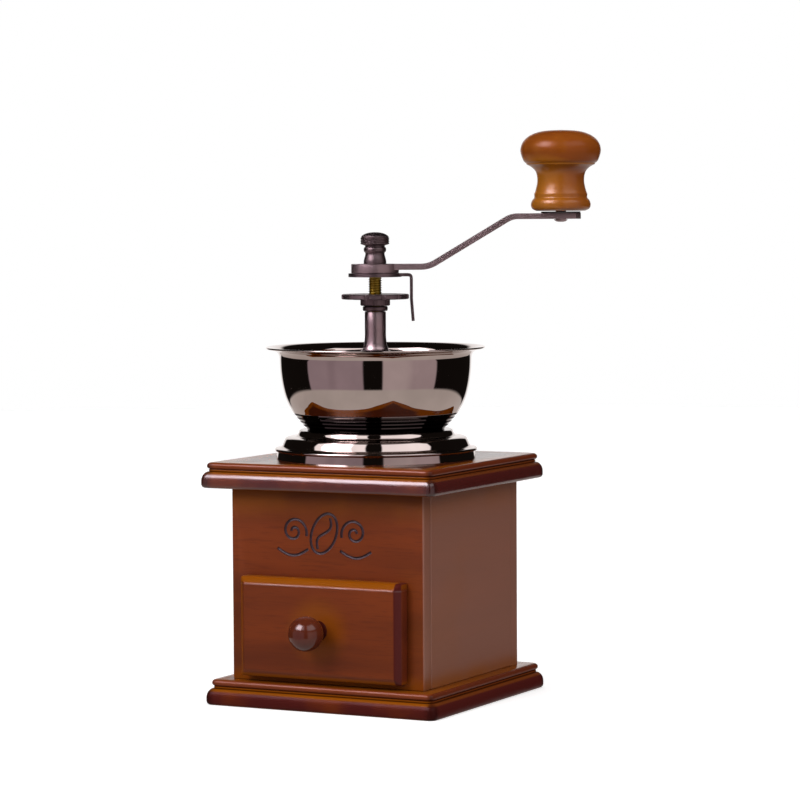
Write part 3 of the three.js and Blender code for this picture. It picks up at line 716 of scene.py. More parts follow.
def moulded_plate(node, hole_radius=0.0):
    bottom = low(node).z
    outline = plate_outline(bottom)
    half = outline[0][0]
    deselect_all()
    bpy.ops.mesh.primitive_plane_add(size=2 * half, location=(0, 0, bottom))
    plate = bpy.context.object
    plate.name = "moulded_" + node
    set_places(plate)
    edit(plate, action="SELECT")
    bpy.ops.mesh.bevel(offset=sizes().nose_radius, offset_type="OFFSET", segments=8, affect="VERTICES")
    bpy.ops.mesh.select_all(action="SELECT")
    width, height = outline[0]
    for next_width, next_height in outline[1:]:
        width, height = raise_ring(width, height, next_width, next_height)
    stop_edit()
    span = (high(node) - low(node)) / (2 * PLATE_HALF)
    plate.data.transform(Matrix.Translation(centre_of(node).xy.to_3d()) @ Matrix.Diagonal((span.x, span.y, 1, 1)))
    tidy_normals(plate)
    if hole_radius:
        boolean(plate, drum("bore", hole_radius, bottom - MM, height + MM))
    return plate


def screw_hole(x, y, bottom):
    return turn("hole", in_mm([(4.0, -1.0), (4.0, 0.4), (1.9, 2.8), (1.9, 12.0)], height_shift=bottom / MM),
                32, (x, y))


class GRINDER_OT_plates(bpy.types.Operator):
    """Makes the moulded base and top plates"""

    bl_idname = "grinder.plates"
    bl_label = "Base and top plates"

    def execute(self, context):
        base = moulded_plate("base_plate")
        for number in range(1, 5):
            centre = centre_of(f"base_screw_{number}")
            boolean(base, screw_hole(centre.x, centre.y, 0.0))
        top = moulded_plate("top_plate", 21.6 * MM)
        for plate, node in ((base, "base_plate"), (top, "top_plate")):
            shine, level = (0.22, 0.8) if plate is top else (0.3, 0.06)
            fit(plate, node, moulding_wood(node + "_lacquer", low(node).z, shine, level), 40)
        return {"FINISHED"}


def leaning(centre, x, z, lean):
    return (centre[0] + x * math.cos(lean) - z * math.sin(lean), centre[1] + x * math.sin(lean) + z * math.cos(lean))


def bean_outline(centre, tall, wide, lean, count=40):
    """An ellipse, leaning to one side."""
    angles = (2 * math.pi * i / count for i in range(count + 1))
    return [leaning(centre, wide * math.cos(angle), tall * math.sin(angle), lean) for angle in angles]


def bean_crease(centre, tall, wide, lean, count=24):
    """The S-shaped crease down the middle of a bean."""
    shares = (2 * i / count - 1 for i in range(count + 1))
    return [leaning(centre, 0.32 * wide * math.sin(math.pi * share), 0.82 * tall * share, lean) for share in shares]


def scroll(start, size, side, turns=1.55, count=56):
    """A spiral that opens outwards from a curl and runs back towards the middle."""
    points = []
    for i in range(count + 1):
        share = i / count
        radius = size * (0.18 + 0.82 * share ** 1.3)
        angle = 2 * math.pi * turns * share
        points.append((start[0] + side * radius * math.cos(angle), start[1] + radius * math.sin(angle)))
    return points


def carve_motif(panel):
    """Carves a bean between two scrolls, well above the drawer."""
    face = low("front_panel").y
    width = sizes().groove_width
    middle = (-0.001, 0.0735)
    lean = math.radians(-24)
    strokes = [bean_outline(middle, 0.0088, 0.0056, lean), bean_crease(middle, 0.0088, 0.0056, lean)]
    for side in (-1, 1):
        strokes.append(scroll((middle[0] + side * 0.0142, middle[1] + 0.0005), 0.0062, side))
        tail = [(middle[0] + side * (0.0075 + 0.0145 * t), middle[1] - 0.0068 - 0.0028 * math.sin(math.pi * t))
                for t in (i / 20 for i in range(21))]
        strokes.append(tail)
    for points in strokes:
        cutter = wire("gouge", [(x, face - 0.0001, z) for x, z in points], width / 2)
        cutter.data.materials.append(panel.data.materials[1])
        boolean(panel, cutter, material_mode="TRANSFER", use_self=True)


def face_panel(node):
    outer = low(node).y if node == "front_panel" else high(node).y
    panel = block("full_" + node, low(node), high(node))
    edit(panel, "EDGE")

    def upright_and_outer(edge):
        start, end = (vertex.co for vertex in edge.verts)
        return abs(start.z - end.z) > 0.01 and abs(start.y - outer) < 1e-6 and abs(end.y - outer) < 1e-6

    choose(panel, "edges", upright_and_outer)
    bpy.ops.mesh.bevel(offset=sizes().panel_ease, segments=5)
    stop_edit()
    return panel


class GRINDER_OT_panels(bpy.types.Operator):
    """Makes the four case panels, with the drawer's opening and the carved motif"""

    bl_idname = "grinder.panels"
    bl_label = "Case panels"

    def execute(self, context):
        bottom, top = low("front_panel").z, high("front_panel").z
        front = face_panel("front_panel")
        opening = block("opening", (-0.0335, low("front_panel").y - MM, 0.015),
                        (0.0335, high("front_panel").y + MM, 0.051))
        boolean(front, opening)
        ease(front, 0.0004, 2, 60)
        front.data.materials.clear()
        front.data.materials.append(case_wood("front_panel_lacquer", "X", bottom, top))
        front.data.materials.append(groove_finish())
        carve_motif(front)
        smooth(front, 30)
        stand_for(front, "front_panel")
        back = face_panel("back_panel")
        fit(back, "back_panel", case_wood("back_panel_lacquer", "X", bottom, top))
        for node in ("left_panel", "right_panel"):
            side = block("planed_" + node, low(node), high(node), 0.00015, 1)
            fit(side, node, case_wood(node + "_lacquer", "Y", bottom, top))
        return {"FINISHED"}


# ---- drawer -----------------------------------------------------------------------------------


class GRINDER_OT_drawer(bpy.types.Operator):
    """Makes the drawer: bevelled front, planed box, turned knob and its screw"""

    bl_idname = "grinder.drawer"
    bl_label = "Drawer"

    def execute(self, context):
        self.make_front()
        axes = {"drawer_inner_front": "X", "drawer_back": "X", "drawer_bottom": "X",
                "drawer_side_left": "Y", "drawer_side_right": "Y"}
        for node, axis in axes.items():
            board = block("planed_" + node, low(node), high(node), sizes().plank_ease)
            fit(board, node, bare_wood(node + "_wood", axis))
        for node in ("drawer_guide_left", "drawer_guide_right"):
            self.make_guide(node)
        self.make_knob()
        return {"FINISHED"}

    def make_front(self):
        lowest, highest = low("drawer_front"), high("drawer_front")
        depth, inset = 0.0021, 0.0027
        front = block("bevelled_drawer_front", lowest + Vector((0, depth, 0)), highest)
        edit(front, "FACE")
        choose(front, "faces", lambda face: face.normal.y < -0.9)
        bpy.ops.mesh.inset(thickness=inset, depth=0)
        bpy.ops.transform.translate(value=(0, -depth, 0))
        stop_edit()
        ease(front, sizes().drawer_ease, 4, 20)
        centre = centre_of("drawer_knob")
        centre.y = lowest.y
        fit(front, "drawer_front", self.front_wood(centre), 24)

    def front_wood(self, halo):
        lowest, highest = low("drawer_front"), high("drawer_front")
        c = colours()
        build = Finish("drawer_front_lacquer", 0.32)
        stain, pores = stained(build, "X")
        thin = build.ramp(build.away_from(halo), 0.006, 0.017, 0.6, 0.0)
        x, z = build.axis("X"), build.axis("Z")
        edge = build.larger(build.ramp(z, highest.z - 0.0031, highest.z - 0.0017),
                          build.ramp(z, lowest.z + 0.0022, lowest.z + 0.001))
        edge = build.larger(edge, build.ramp(x, lowest.x + 0.0022, lowest.x + 0.0008, 0, 0.8))
        thin = build.larger(thin, edge)
        tone = build.mix(thin, stain, c.honey)
        # Painted shade: the right-hand bevel turns cherry, a little less at its far end.
        right = build.ramp(x, highest.x - 0.0030, highest.x - 0.0024, 0.0, 1.0)
        right = build.times(right, build.ramp(x, highest.x - 0.0003, highest.x, 1.0, 0.4))
        build.set("Base Color", build.mix(right, tone, c.cherry))
        lacquer(build, pores, 0.2, 0.12)
        arris = near(build, z, highest.z - 0.0030, 0.0005)
        level = build.ramp(z, highest.z - 0.0026, highest.z - 0.0022, 0.2, 0.03)
        build.set("Specular IOR Level", build.math("MULTIPLY_ADD", arris, 0.8, level))
        return build.material

    def make_guide(self, node):
        lowest, highest = low(node), high(node)
        right = node.endswith("right")
        fence_x = 0.0335 if right else -0.0335
        foot = block("planed_" + node, (lowest.x, lowest.y, lowest.z), (highest.x, highest.y, 0.015))
        fence_low = (fence_x if right else lowest.x, lowest.y, lowest.z + 0.001)
        fence_high = (highest.x if right else fence_x, highest.y, highest.z)
        boolean(foot, block("fence", fence_low, fence_high), "UNION")
        ease(foot, 0.0003)
        fit(foot, node, bare_wood(node + "_wood", "Y"))

    def make_knob(self):
        middle = centre_of("drawer_knob")
        outline = curve_through([(4.3, 0), (3.9, 0.7), (3.6, 2.2), (3.9, 3.9), (5.6, 5.6), (6.9, 8.0),
                                 (7.25, 10.2), (6.7, 13.2), (4.8, 15.6), (2.4, 16.9), (0, 17.2)], 44)
        knob = turn("turned_drawer_knob", in_mm([(1.9, 10), (1.9, 0)] + outline), 64)
        screw = turn("pan_drawer_knob_screw", in_mm(
            [(0, -6.1), (1.2, -6.05), (2.4, -5.75), (3.1, -5.1), (3.4, -4.2), (3.35, -4.0), (1.5, -4.0),
             (1.5, 16.3), (0, 17.3)]), 32)
        slot = block("slot", (-0.004, -0.0004, -0.0075), (0.004, 0.0004, -0.0052))
        boolean(screw, slot)
        for piece, shift in ((knob, high("drawer_knob").y), (screw, low("front_panel").y)):
            piece.rotation_euler.x = math.pi / 2
            piece.location = (middle.x, shift, middle.z)
            set_places(piece)
        fit(knob, "drawer_knob", drawer_knob_wood())
        fit(screw, "drawer_knob_screw", plated("knob_screw_zinc", colours().zinc, 0.25))


# ---- hopper -----------------------------------------------------------------------------------


def offset_outline(outline, wall):
    """The same outline moved sideways by the wall's thickness, in reverse order."""
    inner = []
    for i, (radius, height) in enumerate(outline):
        before = outline[max(i - 1, 0)]
        after = outline[min(i + 1, len(outline) - 1)]
        run = Vector((after[0] - before[0], after[1] - before[1])).normalized()
        inner.append((radius - run.y * wall, height + run.x * wall))
    return inner[::-1]


class GRINDER_OT_hopper(bpy.types.Operator):
    """Makes the spun hopper bowl and its stepped base"""

    bl_idname = "grinder.hopper"
    bl_label = "Hopper"

    def execute(self, context):
        # The darkened band, from the base's top up over the bowl's foot and lines, is painted shade in the crevice.
        metal = plated("hopper_nickel", colours().nickel, 0.03, 0.02, shaded_crevice=(0.1138, 0.1212))
        self.make_bowl(metal)
        self.make_base(metal)
        return {"FINISHED"}

    def make_bowl(self, metal):
        foot = [(20.8, 114.0), (28.6, 114.0), (29.1, 114.15), (29.35, 114.6)]
        lines = [(29.5, 115.0), (30.9, 115.95), (30.95, 116.45), (32.25, 117.55), (32.3, 118.05), (33.55, 119.1),
                 (33.6, 119.6), (34.75, 120.7), (34.82, 121.25)]
        side = curve_through([(35.25, 121.4), (35.8, 122.4), (37.2, 125.0), (38.6, 128.6), (39.75, 133.6),
                              (40.45, 139.0), (40.7, 144.4)], 40)
        rim = curve_through([(40.85, 145.4), (41.5, 146.6), (42.9, 147.6), (44.6, 148.15), (46.0, 148.35)], 14)
        outer = foot + lines + side + rim
        inner = offset_outline(outer, 0.8)
        lip = arc((46.05, 148.75), 0.42, -70, 90, 6)
        bowl = turn("spun_hopper_bowl", in_mm(outer + lip + inner + [outer[0]]), 128)
        self.drill(bowl, 0.112, 0.118)
        fit(bowl, "hopper_bowl", metal, 38)

    def make_base(self, metal):
        skirt = [(42.45, 101.9), (42.4, 102.2), (41.95, 104.9)]
        lip = arc((42.3, 105.75), 0.7, -80, 80, 6)
        dish = [(41.9, 106.5), (40.9, 106.72), (40.25, 106.95), (39.95, 107.2)]
        step = [(39.85, 107.4), (39.3, 108.75)] + curve_through(
            [(38.75, 110.05), (38.35, 110.6), (37.6, 110.95), (36.3, 111.2), (34.4, 111.4)], 14)
        roll = [(33.75, 111.6), (33.35, 111.95), (33.05, 112.5), (32.78, 113.15), (32.52, 113.75), (32.2, 113.97),
                (31.5, 114.0), (29.6, 114.0)]
        outer = skirt + lip + dish + step + roll + [(20.8, 114.0)]
        inner = offset_outline(outer, 0.9)
        outline = outer + inner + [outer[0]]
        base = turn("spun_hopper_base", in_mm(outline), 128)
        self.drill(base, 0.111, 0.116)
        fit(base, "hopper_base", metal, 38)

    def drill(self, piece, bottom, top):
        for number in range(1, 5):
            centre = centre_of(f"housing_screw_{number}")
            boolean(piece, drum("drill", 0.0019, bottom, top, (centre.x, centre.y), 24))


# ---- burrs and bridge -------------------------------------------------------------------------


def fluted(name, low_radius, high_radius, depth, bottom, top, lean, teeth=10, levels=8):
    """A toothed cone: a toothed ring is extruded upwards, turned and resized at each level."""
    sides = 6 * teeth
    deselect_all()
    bpy.ops.mesh.primitive_circle_add(vertices=sides, radius=low_radius, location=(0, 0, bottom))
    cone = bpy.context.object
    cone.name = name
    set_places(cone)

    def place_in_tooth(vertex):
        return round(math.atan2(vertex.co.y, vertex.co.x) / (2 * math.pi) * sides) % 6

    for step, share in enumerate((0.0, 0.35, 0.7, 1.0, 1.0, 0.5)):
        edit(cone)
        choose(cone, "verts", lambda vertex: place_in_tooth(vertex) == step)
        factor = 1 - share * depth / low_radius
        bpy.ops.transform.resize(value=(factor, factor, 1), center_override=(0, 0, bottom))
        stop_edit()
    edit(cone, "EDGE", "SELECT")
    bpy.ops.mesh.edge_face_add()
    radius, height = low_radius, bottom
    for level in range(1, levels + 1):
        next_radius = low_radius + (high_radius - low_radius) * level / levels
        next_height = bottom + (top - bottom) * level / levels
        radius, height = raise_ring(radius, height, next_radius, next_height)
        bpy.ops.transform.rotate(value=lean / levels, orient_axis="Z", center_override=(0, 0, height))
    stop_edit()
    return tidy_normals(cone)


def crossed(screw, bottom, size, depth):
    """Cuts a cross recess into the end of a screw that starts at a height."""
    half, arm = 0.09 * size, 0.5 * size
    for reach_x, reach_y in ((arm, half), (half, arm)):
        boolean(screw, block("recess", (-reach_x, -reach_y, bottom), (reach_x, reach_y, bottom + depth)))
    return screw


class GRINDER_OT_burrs(bpy.types.Operator):
    """Makes the burr housing, both burrs, the nut, the spring, the lower strip and its screws"""

    bl_idname = "grinder.burrs"
    bl_label = "Burrs and housing"

    def execute(self, context):
        iron = cast_iron("burr_iron")
        zinc = plated("burr_zinc", colours().zinc, 0.3, 0.1)
        self.make_housing(iron)
        self.make_burrs(iron, zinc)
        self.make_spring(zinc)
        self.make_lower_strip(zinc)
        return {"FINISHED"}

    def make_housing(self, iron):
        housing = turn("cast_burr_housing", in_mm([
            (17.5, 84), (20.4, 84), (20.4, 115.2), (27, 115.2), (27, 117.7), (16.9, 117.7), (16.3, 108.5),
            (17.5, 108.5), (17.5, 84)]))
        for x, y in ((24.1, 0), (-24.1, 0), (0, 24.1), (0, -24.1)):
            boolean(housing, drum("drill", 0.0019, 0.114, 0.119, (x * MM, y * MM), 24))
        ease(housing, 0.0004)
        fit(housing, "burr_housing", iron)

    def make_burrs(self, iron, zinc):
        bottom, top = low("inner_burr").z, high("inner_burr").z
        inner = fluted("cut_inner_burr", 0.0146, 0.0074, 0.0012, bottom, top, 0.7)
        boolean(inner, drum("bore", 0.0032, bottom - MM, top + MM))
        outer = drum("cut_outer_burr", 0.0173, low("outer_burr").z, high("outer_burr").z, sides=96)
        boolean(outer, fluted("cutter", 0.01685, 0.0087, 0.0011, bottom - 0.0007, top + 0.0013, -0.7))
        nut = drum("chamfered_burr_nut", 0.0054, low("burr_nut").z, high("burr_nut").z, sides=6)
        towards_crank(nut)
        ease(nut, 0.0004)
        boolean(nut, drum("bore", 0.0032, low("burr_nut").z - MM, high("burr_nut").z + MM))
        for piece, node, material in ((inner, "inner_burr", iron), (outer, "outer_burr", iron),
                                      (nut, "burr_nut", zinc)):
            ease(piece, 0.00012, 1)
            fit(piece, node, material, 25)

    def make_spring(self, zinc):
        lowest, highest = low("burr_spring").z, high("burr_spring").z
        radius, thick = 0.0049, sizes().spring_wire
        turns, steps = 6.5, 220
        points = []
        for i in range(steps + 1):
            share = i / steps
            angle = 2 * math.pi * turns * share
            rise = min(max((share - 0.09) / 0.82, 0.0), 1.0)
            height = lowest + thick + (highest - lowest - 2 * thick) * rise
            points.append((radius * math.cos(angle), radius * math.sin(angle), height))
        spring = wire("coiled_burr_spring", points, thick)
        fit(spring, "burr_spring", zinc, 50)
        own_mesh(spring)

    def make_lower_strip(self, zinc):
        top, bottom = high("lower_strip").z, low("lower_strip").z
        reach = 16.75 * MM
        bar = block("stamped_lower_strip", (-0.0036, -reach, bottom), (0.0036, reach, top))
        for y, radius in ((reach, 0.0036), (-reach, 0.0036), (0, 0.0056)):
            boolean(bar, drum("boss", radius, bottom, top, (0, y)), "UNION")
        boolean(bar, drum("bore", 0.0032, bottom - MM, top + MM))
        ease(bar, 0.0003)
        fit(bar, "lower_strip", zinc)
        head = low("lower_strip_screw_1").z
        screw = turn("screw", in_mm([(0, 0), (1.0, 0.1), (1.6, 0.5), (1.9, 1.2), (1.9, 1.4), (0.75, 1.4),
                                     (0.75, 9.4), (0, 9.4)], height_shift=head / MM), 32)
        crossed(screw, head - MM, 0.0026, 0.0017)
        places = []
        for number in (1, 2):
            centre = centre_of(f"lower_strip_screw_{number}")
            places.append((centre.x, centre.y, 0))
        pair = copies(screw, ("pan_screw_1", "pan_screw_2"), places)
        for piece, node in zip(pair, ("lower_strip_screw_1", "lower_strip_screw_2")):
            fit(piece, node, zinc)


class GRINDER_OT_bridge(bpy.types.Operator):
    """Makes the bridge, its bush and the long screws through the hopper"""

    bl_idname = "grinder.bridge"
    bl_label = "Bridge, bush and hopper screws"

    def execute(self, context):
        zinc = plated("bridge_zinc", colours().zinc, 0.28, 0.1, 0.12, "X")
        foot, top, leg, end = 119.7, 145.0, 20.4, 27.0
        corners = [(-end, foot), (-leg, foot), (-leg, top), (leg, top), (leg, foot), (end, foot)]
        bridge = strip("bent_bridge", rounded([(x * MM, z * MM) for x, z in corners], 0.0022), 0.012, 0.002)
        self.keep_inside(bridge, top)
        boolean(bridge, drum("bore", 0.0046, 0.141, 0.147))
        for x in (-24.1, 24.1):
            boolean(bridge, drum("drill", 0.0019, 0.116, 0.122, (x * MM, 0), 24))
        ease(bridge, sizes().metal_ease)
        fit(bridge, "bridge", zinc)
        neck = curve_through([(7.2, 146.75), (5.6, 147.9), (4.85, 150.2), (4.5, 153.5), (4.5, 157)], 14)
        bush = turn("turned_bearing_bush", in_mm(
            [(3.2, 143.1), (4.2, 143.1), (4.3, 145.05), (7.75, 145.05), (8, 145.3), (8, 146.3), (7.8, 146.6)] + neck
            + [(4.5, 163.6), (4.25, 164), (3.2, 164), (3.2, 143.1)]))
        fit(bush, "bearing_bush", plated("bush_pewter", colours().pewter, 0.3, 0.08, 0.15, "Z"))
        self.make_screws(zinc)
        return {"FINISHED"}

    def keep_inside(self, bridge, top):
        """Moves the strap down where the bar was thickened upwards."""
        lift = max(corner[2] for corner in bridge.bound_box) - top * MM
        bridge.data.transform(Matrix.Translation((0, 0, -lift)))

    def make_screws(self, zinc):
        for number in range(1, 5):
            node = f"housing_screw_{number}"
            centre, top = centre_of(node), high(node).z / MM
            screw = turn(f"pan_{node}", in_mm([(0, 96), (1.3, 97.5), (1.3, top - 2.3), (3, top - 2.3), (3, top - 1.6),
                                               (2.7, top - 0.9), (1.9, top - 0.3), (0.9, top - 0.04), (0, top)]), 40)
            crossed(screw, (top - 1.3) * MM, 0.0036, 0.003)
            screw.data.transform(Matrix.Translation((centre.x, centre.y, 0)))
            fit(screw, node, zinc)


# ---- adjuster and crank -----------------------------------------------------------------------


class GRINDER_OT_adjuster(bpy.types.Operator):
    """Makes the thrust washer, the notched wheel, the lock plate and the threaded shaft"""

    bl_idname = "grinder.adjuster"
    bl_label = "Adjuster and shaft"

    def execute(self, context):
        pewter = plated("adjuster_pewter", shaded(colours().pewter, 0.5), 0.36, 0.1)
        washer = turn("turned_thrust_washer", in_mm([
            (3.2, 164.2), (4.9, 164.2), (5.15, 164.35), (5.3, 164.7), (5.3, 165.7), (5.15, 166.05), (4.9, 166.2),
            (3.2, 166.2), (3.2, 164.2)]), 64)
        wheel = self.make_wheel()
        plate = self.make_lock_plate()
        for piece, node in ((washer, "thrust_washer"), (wheel, "adjusting_wheel"), (plate, "lock_plate")):
            fit(piece, node, pewter)
        self.make_shaft()
        return {"FINISHED"}

    def make_wheel(self):
        teeth = 36
        collar = turn("notched_adjusting_wheel", in_mm([
            (3.2, 166.4), (5.9, 166.4), (6.3, 166.7), (6.3, 168.9), (5.9, 169.2), (13.9, 169.2), (14.3, 169.5),
            (14.3, 171.0), (13.9, 171.3), (3.2, 171.3), (3.2, 166.4)]), 96)
        for number in range(12):
            angle = (number + 0.5) / 12 * 2 * math.pi
            place = (0.0146 * math.cos(angle), 0.0146 * math.sin(angle))
            boolean(collar, drum("notch", 0.0011, 0.1685, 0.172, place, 20))
        knurl = []
        for number in range(teeth):
            angle = number / teeth * 2 * math.pi
            knurl.append(drum("groove", 0.0002, 0.16665, 0.16895,
                              (0.0064 * math.cos(angle), 0.0064 * math.sin(angle)), 6))
        boolean(collar, join(knurl, "knurl"))
        return towards_crank(collar)

    def make_lock_plate(self):
        plate = drum("bent_lock_plate", 0.0113, 0.1786, 0.1801, sides=72)
        outer = 16.0
        corners = [(6, 180.1), (outer, 180.1), (outer, 169.2), (outer + 0.7, 160)]
        tongue = strip("tongue", rounded([(x * MM, z * MM) for x, z in corners], 0.0022), 0.007, 0.0013)
        boolean(plate, tongue, "UNION")
        ease(plate, sizes().metal_ease)
        boolean(plate, block("square", (-0.0024, -0.0024, 0.176), (0.0024, 0.0024, 0.183)))
        return towards_crank(plate)

    def make_shaft(self):
        pitch, depth, sides = sizes().thread_pitch, 0.00045, 40
        rings = [(2.4, 78.5), (2.9, 79.1), (2.9, 165.0)]
        rings += [(2.9, 165.0 + 0.125 * step) for step in range(1, 106)]
        shaft = turn("threaded_drive_shaft", in_mm([(0, 78.5)] + rings + [(2.5, 178.32), (0, 178.32)]), sides)
        for vertex in shaft.data.vertices:
            radius = math.hypot(vertex.co.x, vertex.co.y)
            if 0.1655 < vertex.co.z < 0.1782 and radius > 0.0028:
                angle = math.atan2(vertex.co.y, vertex.co.x) / (2 * math.pi)
                share = (vertex.co.z / pitch - angle) % 1.0
                factor = 1 - depth / radius * min(1.0, 1.6 * (1 - abs(2 * share - 1)))
                vertex.co.x *= factor
                vertex.co.y *= factor
        square = block("square", (-0.0021, -0.0021, 0.1776), (0.0021, 0.0021, 0.1837), 0.0002)
        stud = turn("stud", in_mm([(0, 183), (2.1, 183), (2.1, 193), (1.5, 193.8), (0, 193.8)]), sides)
        boolean(shaft, square, "UNION")
        boolean(shaft, stud, "UNION")
        towards_crank(shaft)
        fit(shaft, "drive_shaft", plated("shaft_brass", colours().brass, 0.3, 0.12), 30)


class GRINDER_OT_crank(bpy.types.Operator):
    """Makes the cranked arm, its cap nut, the knob's pin and washer"""

    bl_idname = "grinder.crank"
    bl_label = "Crank"

    def execute(self, context):
        pewter = plated("crank_pewter", shaded(colours().pewter, 0.92), 0.4, 0.1, 0.1, "X")
        dull = plated("nut_pewter", shaded(colours().pewter, 0.42), 0.4, 0.1)
        arm = self.make_arm()
        nut = self.make_cap_nut()
        pin = turn("riveted_knob_pin", in_mm([
            (0, 201.4), (1.0, 201.42), (1.9, 201.6), (2.6, 202.0), (3.0, 202.5), (2.2, 202.5), (2.2, 226.1),
            (0, 227.1)]), 48)
        washer = turn("dark_knob_washer", in_mm([
            (2.5, 205.12), (8.1, 205.12), (8.4, 205.3), (8.4, 205.62), (8.1, 205.8), (2.5, 205.8), (2.5, 205.12)]), 64)
        for piece in (pin, washer):
            piece.data.transform(Matrix.Translation((KNOB_AT.x, KNOB_AT.y, 0)))
        for piece, node in ((arm, "crank_arm"), (nut, "cap_nut"), (pin, "knob_pin")):
            fit(piece, node, dull if piece is nut else pewter)
        fit(washer, "knob_washer", cast_iron("washer_iron"))
        return {"FINISHED"}

    def make_arm(self):
        end = 78.7 + 8.5
        corners = [(0, 184), (22.4, 184), (57.6, 205.1), (end, 205.1)]
        path = rounded([(x * MM, z * MM) for x, z in corners], 0.011, 8)
        arm = strip("bent_crank_arm", path, 0.012, 0.0024)
        plan = block("plan", (-0.001, -0.006, 0.17), (0.0787, 0.006, 0.22))
        boolean(plan, drum("end", 0.0085, 0.17, 0.22, (0.0787, 0)), "UNION")
        boolean(plan, drum("start", 0.0101, 0.17, 0.22, (0, 0)), "UNION")
        boolean(arm, plan, "INTERSECT")
        hub = drum("hub", 0.0101, 0.1803, 0.184, sides=72)
        boolean(arm, hub, "UNION")
        ease(arm, 0.00045, 3)
        boolean(arm, block("square", (-0.0024, -0.0024, 0.178), (0.0024, 0.0024, 0.187)))
        boolean(arm, drum("pin_hole", 0.0024, 0.2, 0.21, (0.0787, 0), 32))
        return towards_crank(arm)

    def make_cap_nut(self):
        base = 184.2
        body = curve_through([(4.8, 0), (4.72, 1.4), (4.3, 3.0), (4.05, 4.1), (4.25, 4.8)], 12)
        bead = [(4.6, 5.1), (4.75, 5.5), (4.75, 6.3), (4.55, 6.8), (4.2, 7.1), (4.15, 7.6)]
        head = [(5.2, 7.95), (5.9, 8.2)]
        for rib in range(4):
            start = 8.35 + 0.72 * rib
            head += [(6.1, start), (6.1, start + 0.4), (5.8, start + 0.5), (5.8, start + 0.62)]
        dome = curve_through([(5.9, 11.3), (5.3, 12.0), (3.7, 12.8), (1.8, 13.2), (0, 13.3)], 12)
        bore = [(0, 10.2), (2.4, 10.2), (2.4, 0)]
        return turn("ribbed_cap_nut", in_mm(bore + body + bead + head + dome, height_shift=base), 72)


class GRINDER_OT_knob(bpy.types.Operator):
    """Makes the turned and lacquered crank knob"""

    bl_idname = "grinder.knob"
    bl_label = "Crank knob"

    def execute(self, context):
        foot = curve_through([(10.3, 0), (12.1, 0.9), (12.65, 2.6), (12.2, 4.3), (11.3, 5.4)], 16)
        step = [(11.15, 5.9), (11.25, 6.9)]
        waist = curve_through([(11.2, 7.3), (10.6, 8.9), (9.9, 12.6), (10.4, 16.2), (12.1, 18.3), (13.9, 19.35),
                               (14.4, 19.6)], 30)
        head = curve_through([(14.6, 20.1), (15.9, 21.5), (17.0, 25.6), (15.8, 29.3), (12.6, 32.0),
                              (7.6, 33.6), (0, 34.1)], 44)
        bore = [(0, 22), (2.5, 22), (2.5, 0)]
        knob = turn("turned_crank_knob", in_mm(bore + foot + step + waist + head, height_shift=206.1), 96)
        knob.data.transform(Matrix.Translation((KNOB_AT.x, KNOB_AT.y, 0)))
        fit(knob, "crank_knob", crank_knob_wood(), 35)
        return {"FINISHED"}


class GRINDER_OT_base_screws(bpy.types.Operator):
    """Makes the four countersunk screws under the base"""

    bl_idname = "grinder.base_screws"
    bl_label = "Base screws"

    def execute(self, context):
        zinc = plated("base_screw_zinc", colours().zinc, 0.3, 0.1)
        screw = turn("screw", in_mm([(0, 0.3), (3.4, 0.3), (3.6, 0.45), (3.55, 0.65), (1.5, 2.7), (1.5, 24),
                                     (0, 26)]), 40)
        crossed(screw, -0.001, 0.0042, 0.0028)
        nodes = [f"base_screw_{number}" for number in range(1, 5)]
        places = [centre_of(node).xy.to_3d() for node in nodes]
        for piece, node in zip(copies(screw, ["sunk_" + node for node in nodes], places), nodes):
            fit(piece, node, zinc)
        return {"FINISHED"}


# ---- stage and camera -------------------------------------------------------------------------


def camera_axes():
    """Level directions from the grinder towards the camera, and to the camera's right."""
    azimuth = math.radians(27.215)
    return Vector((math.sin(azimuth), -math.cos(azimuth), 0)), Vector((math.cos(azimuth), math.sin(azimuth), 0))


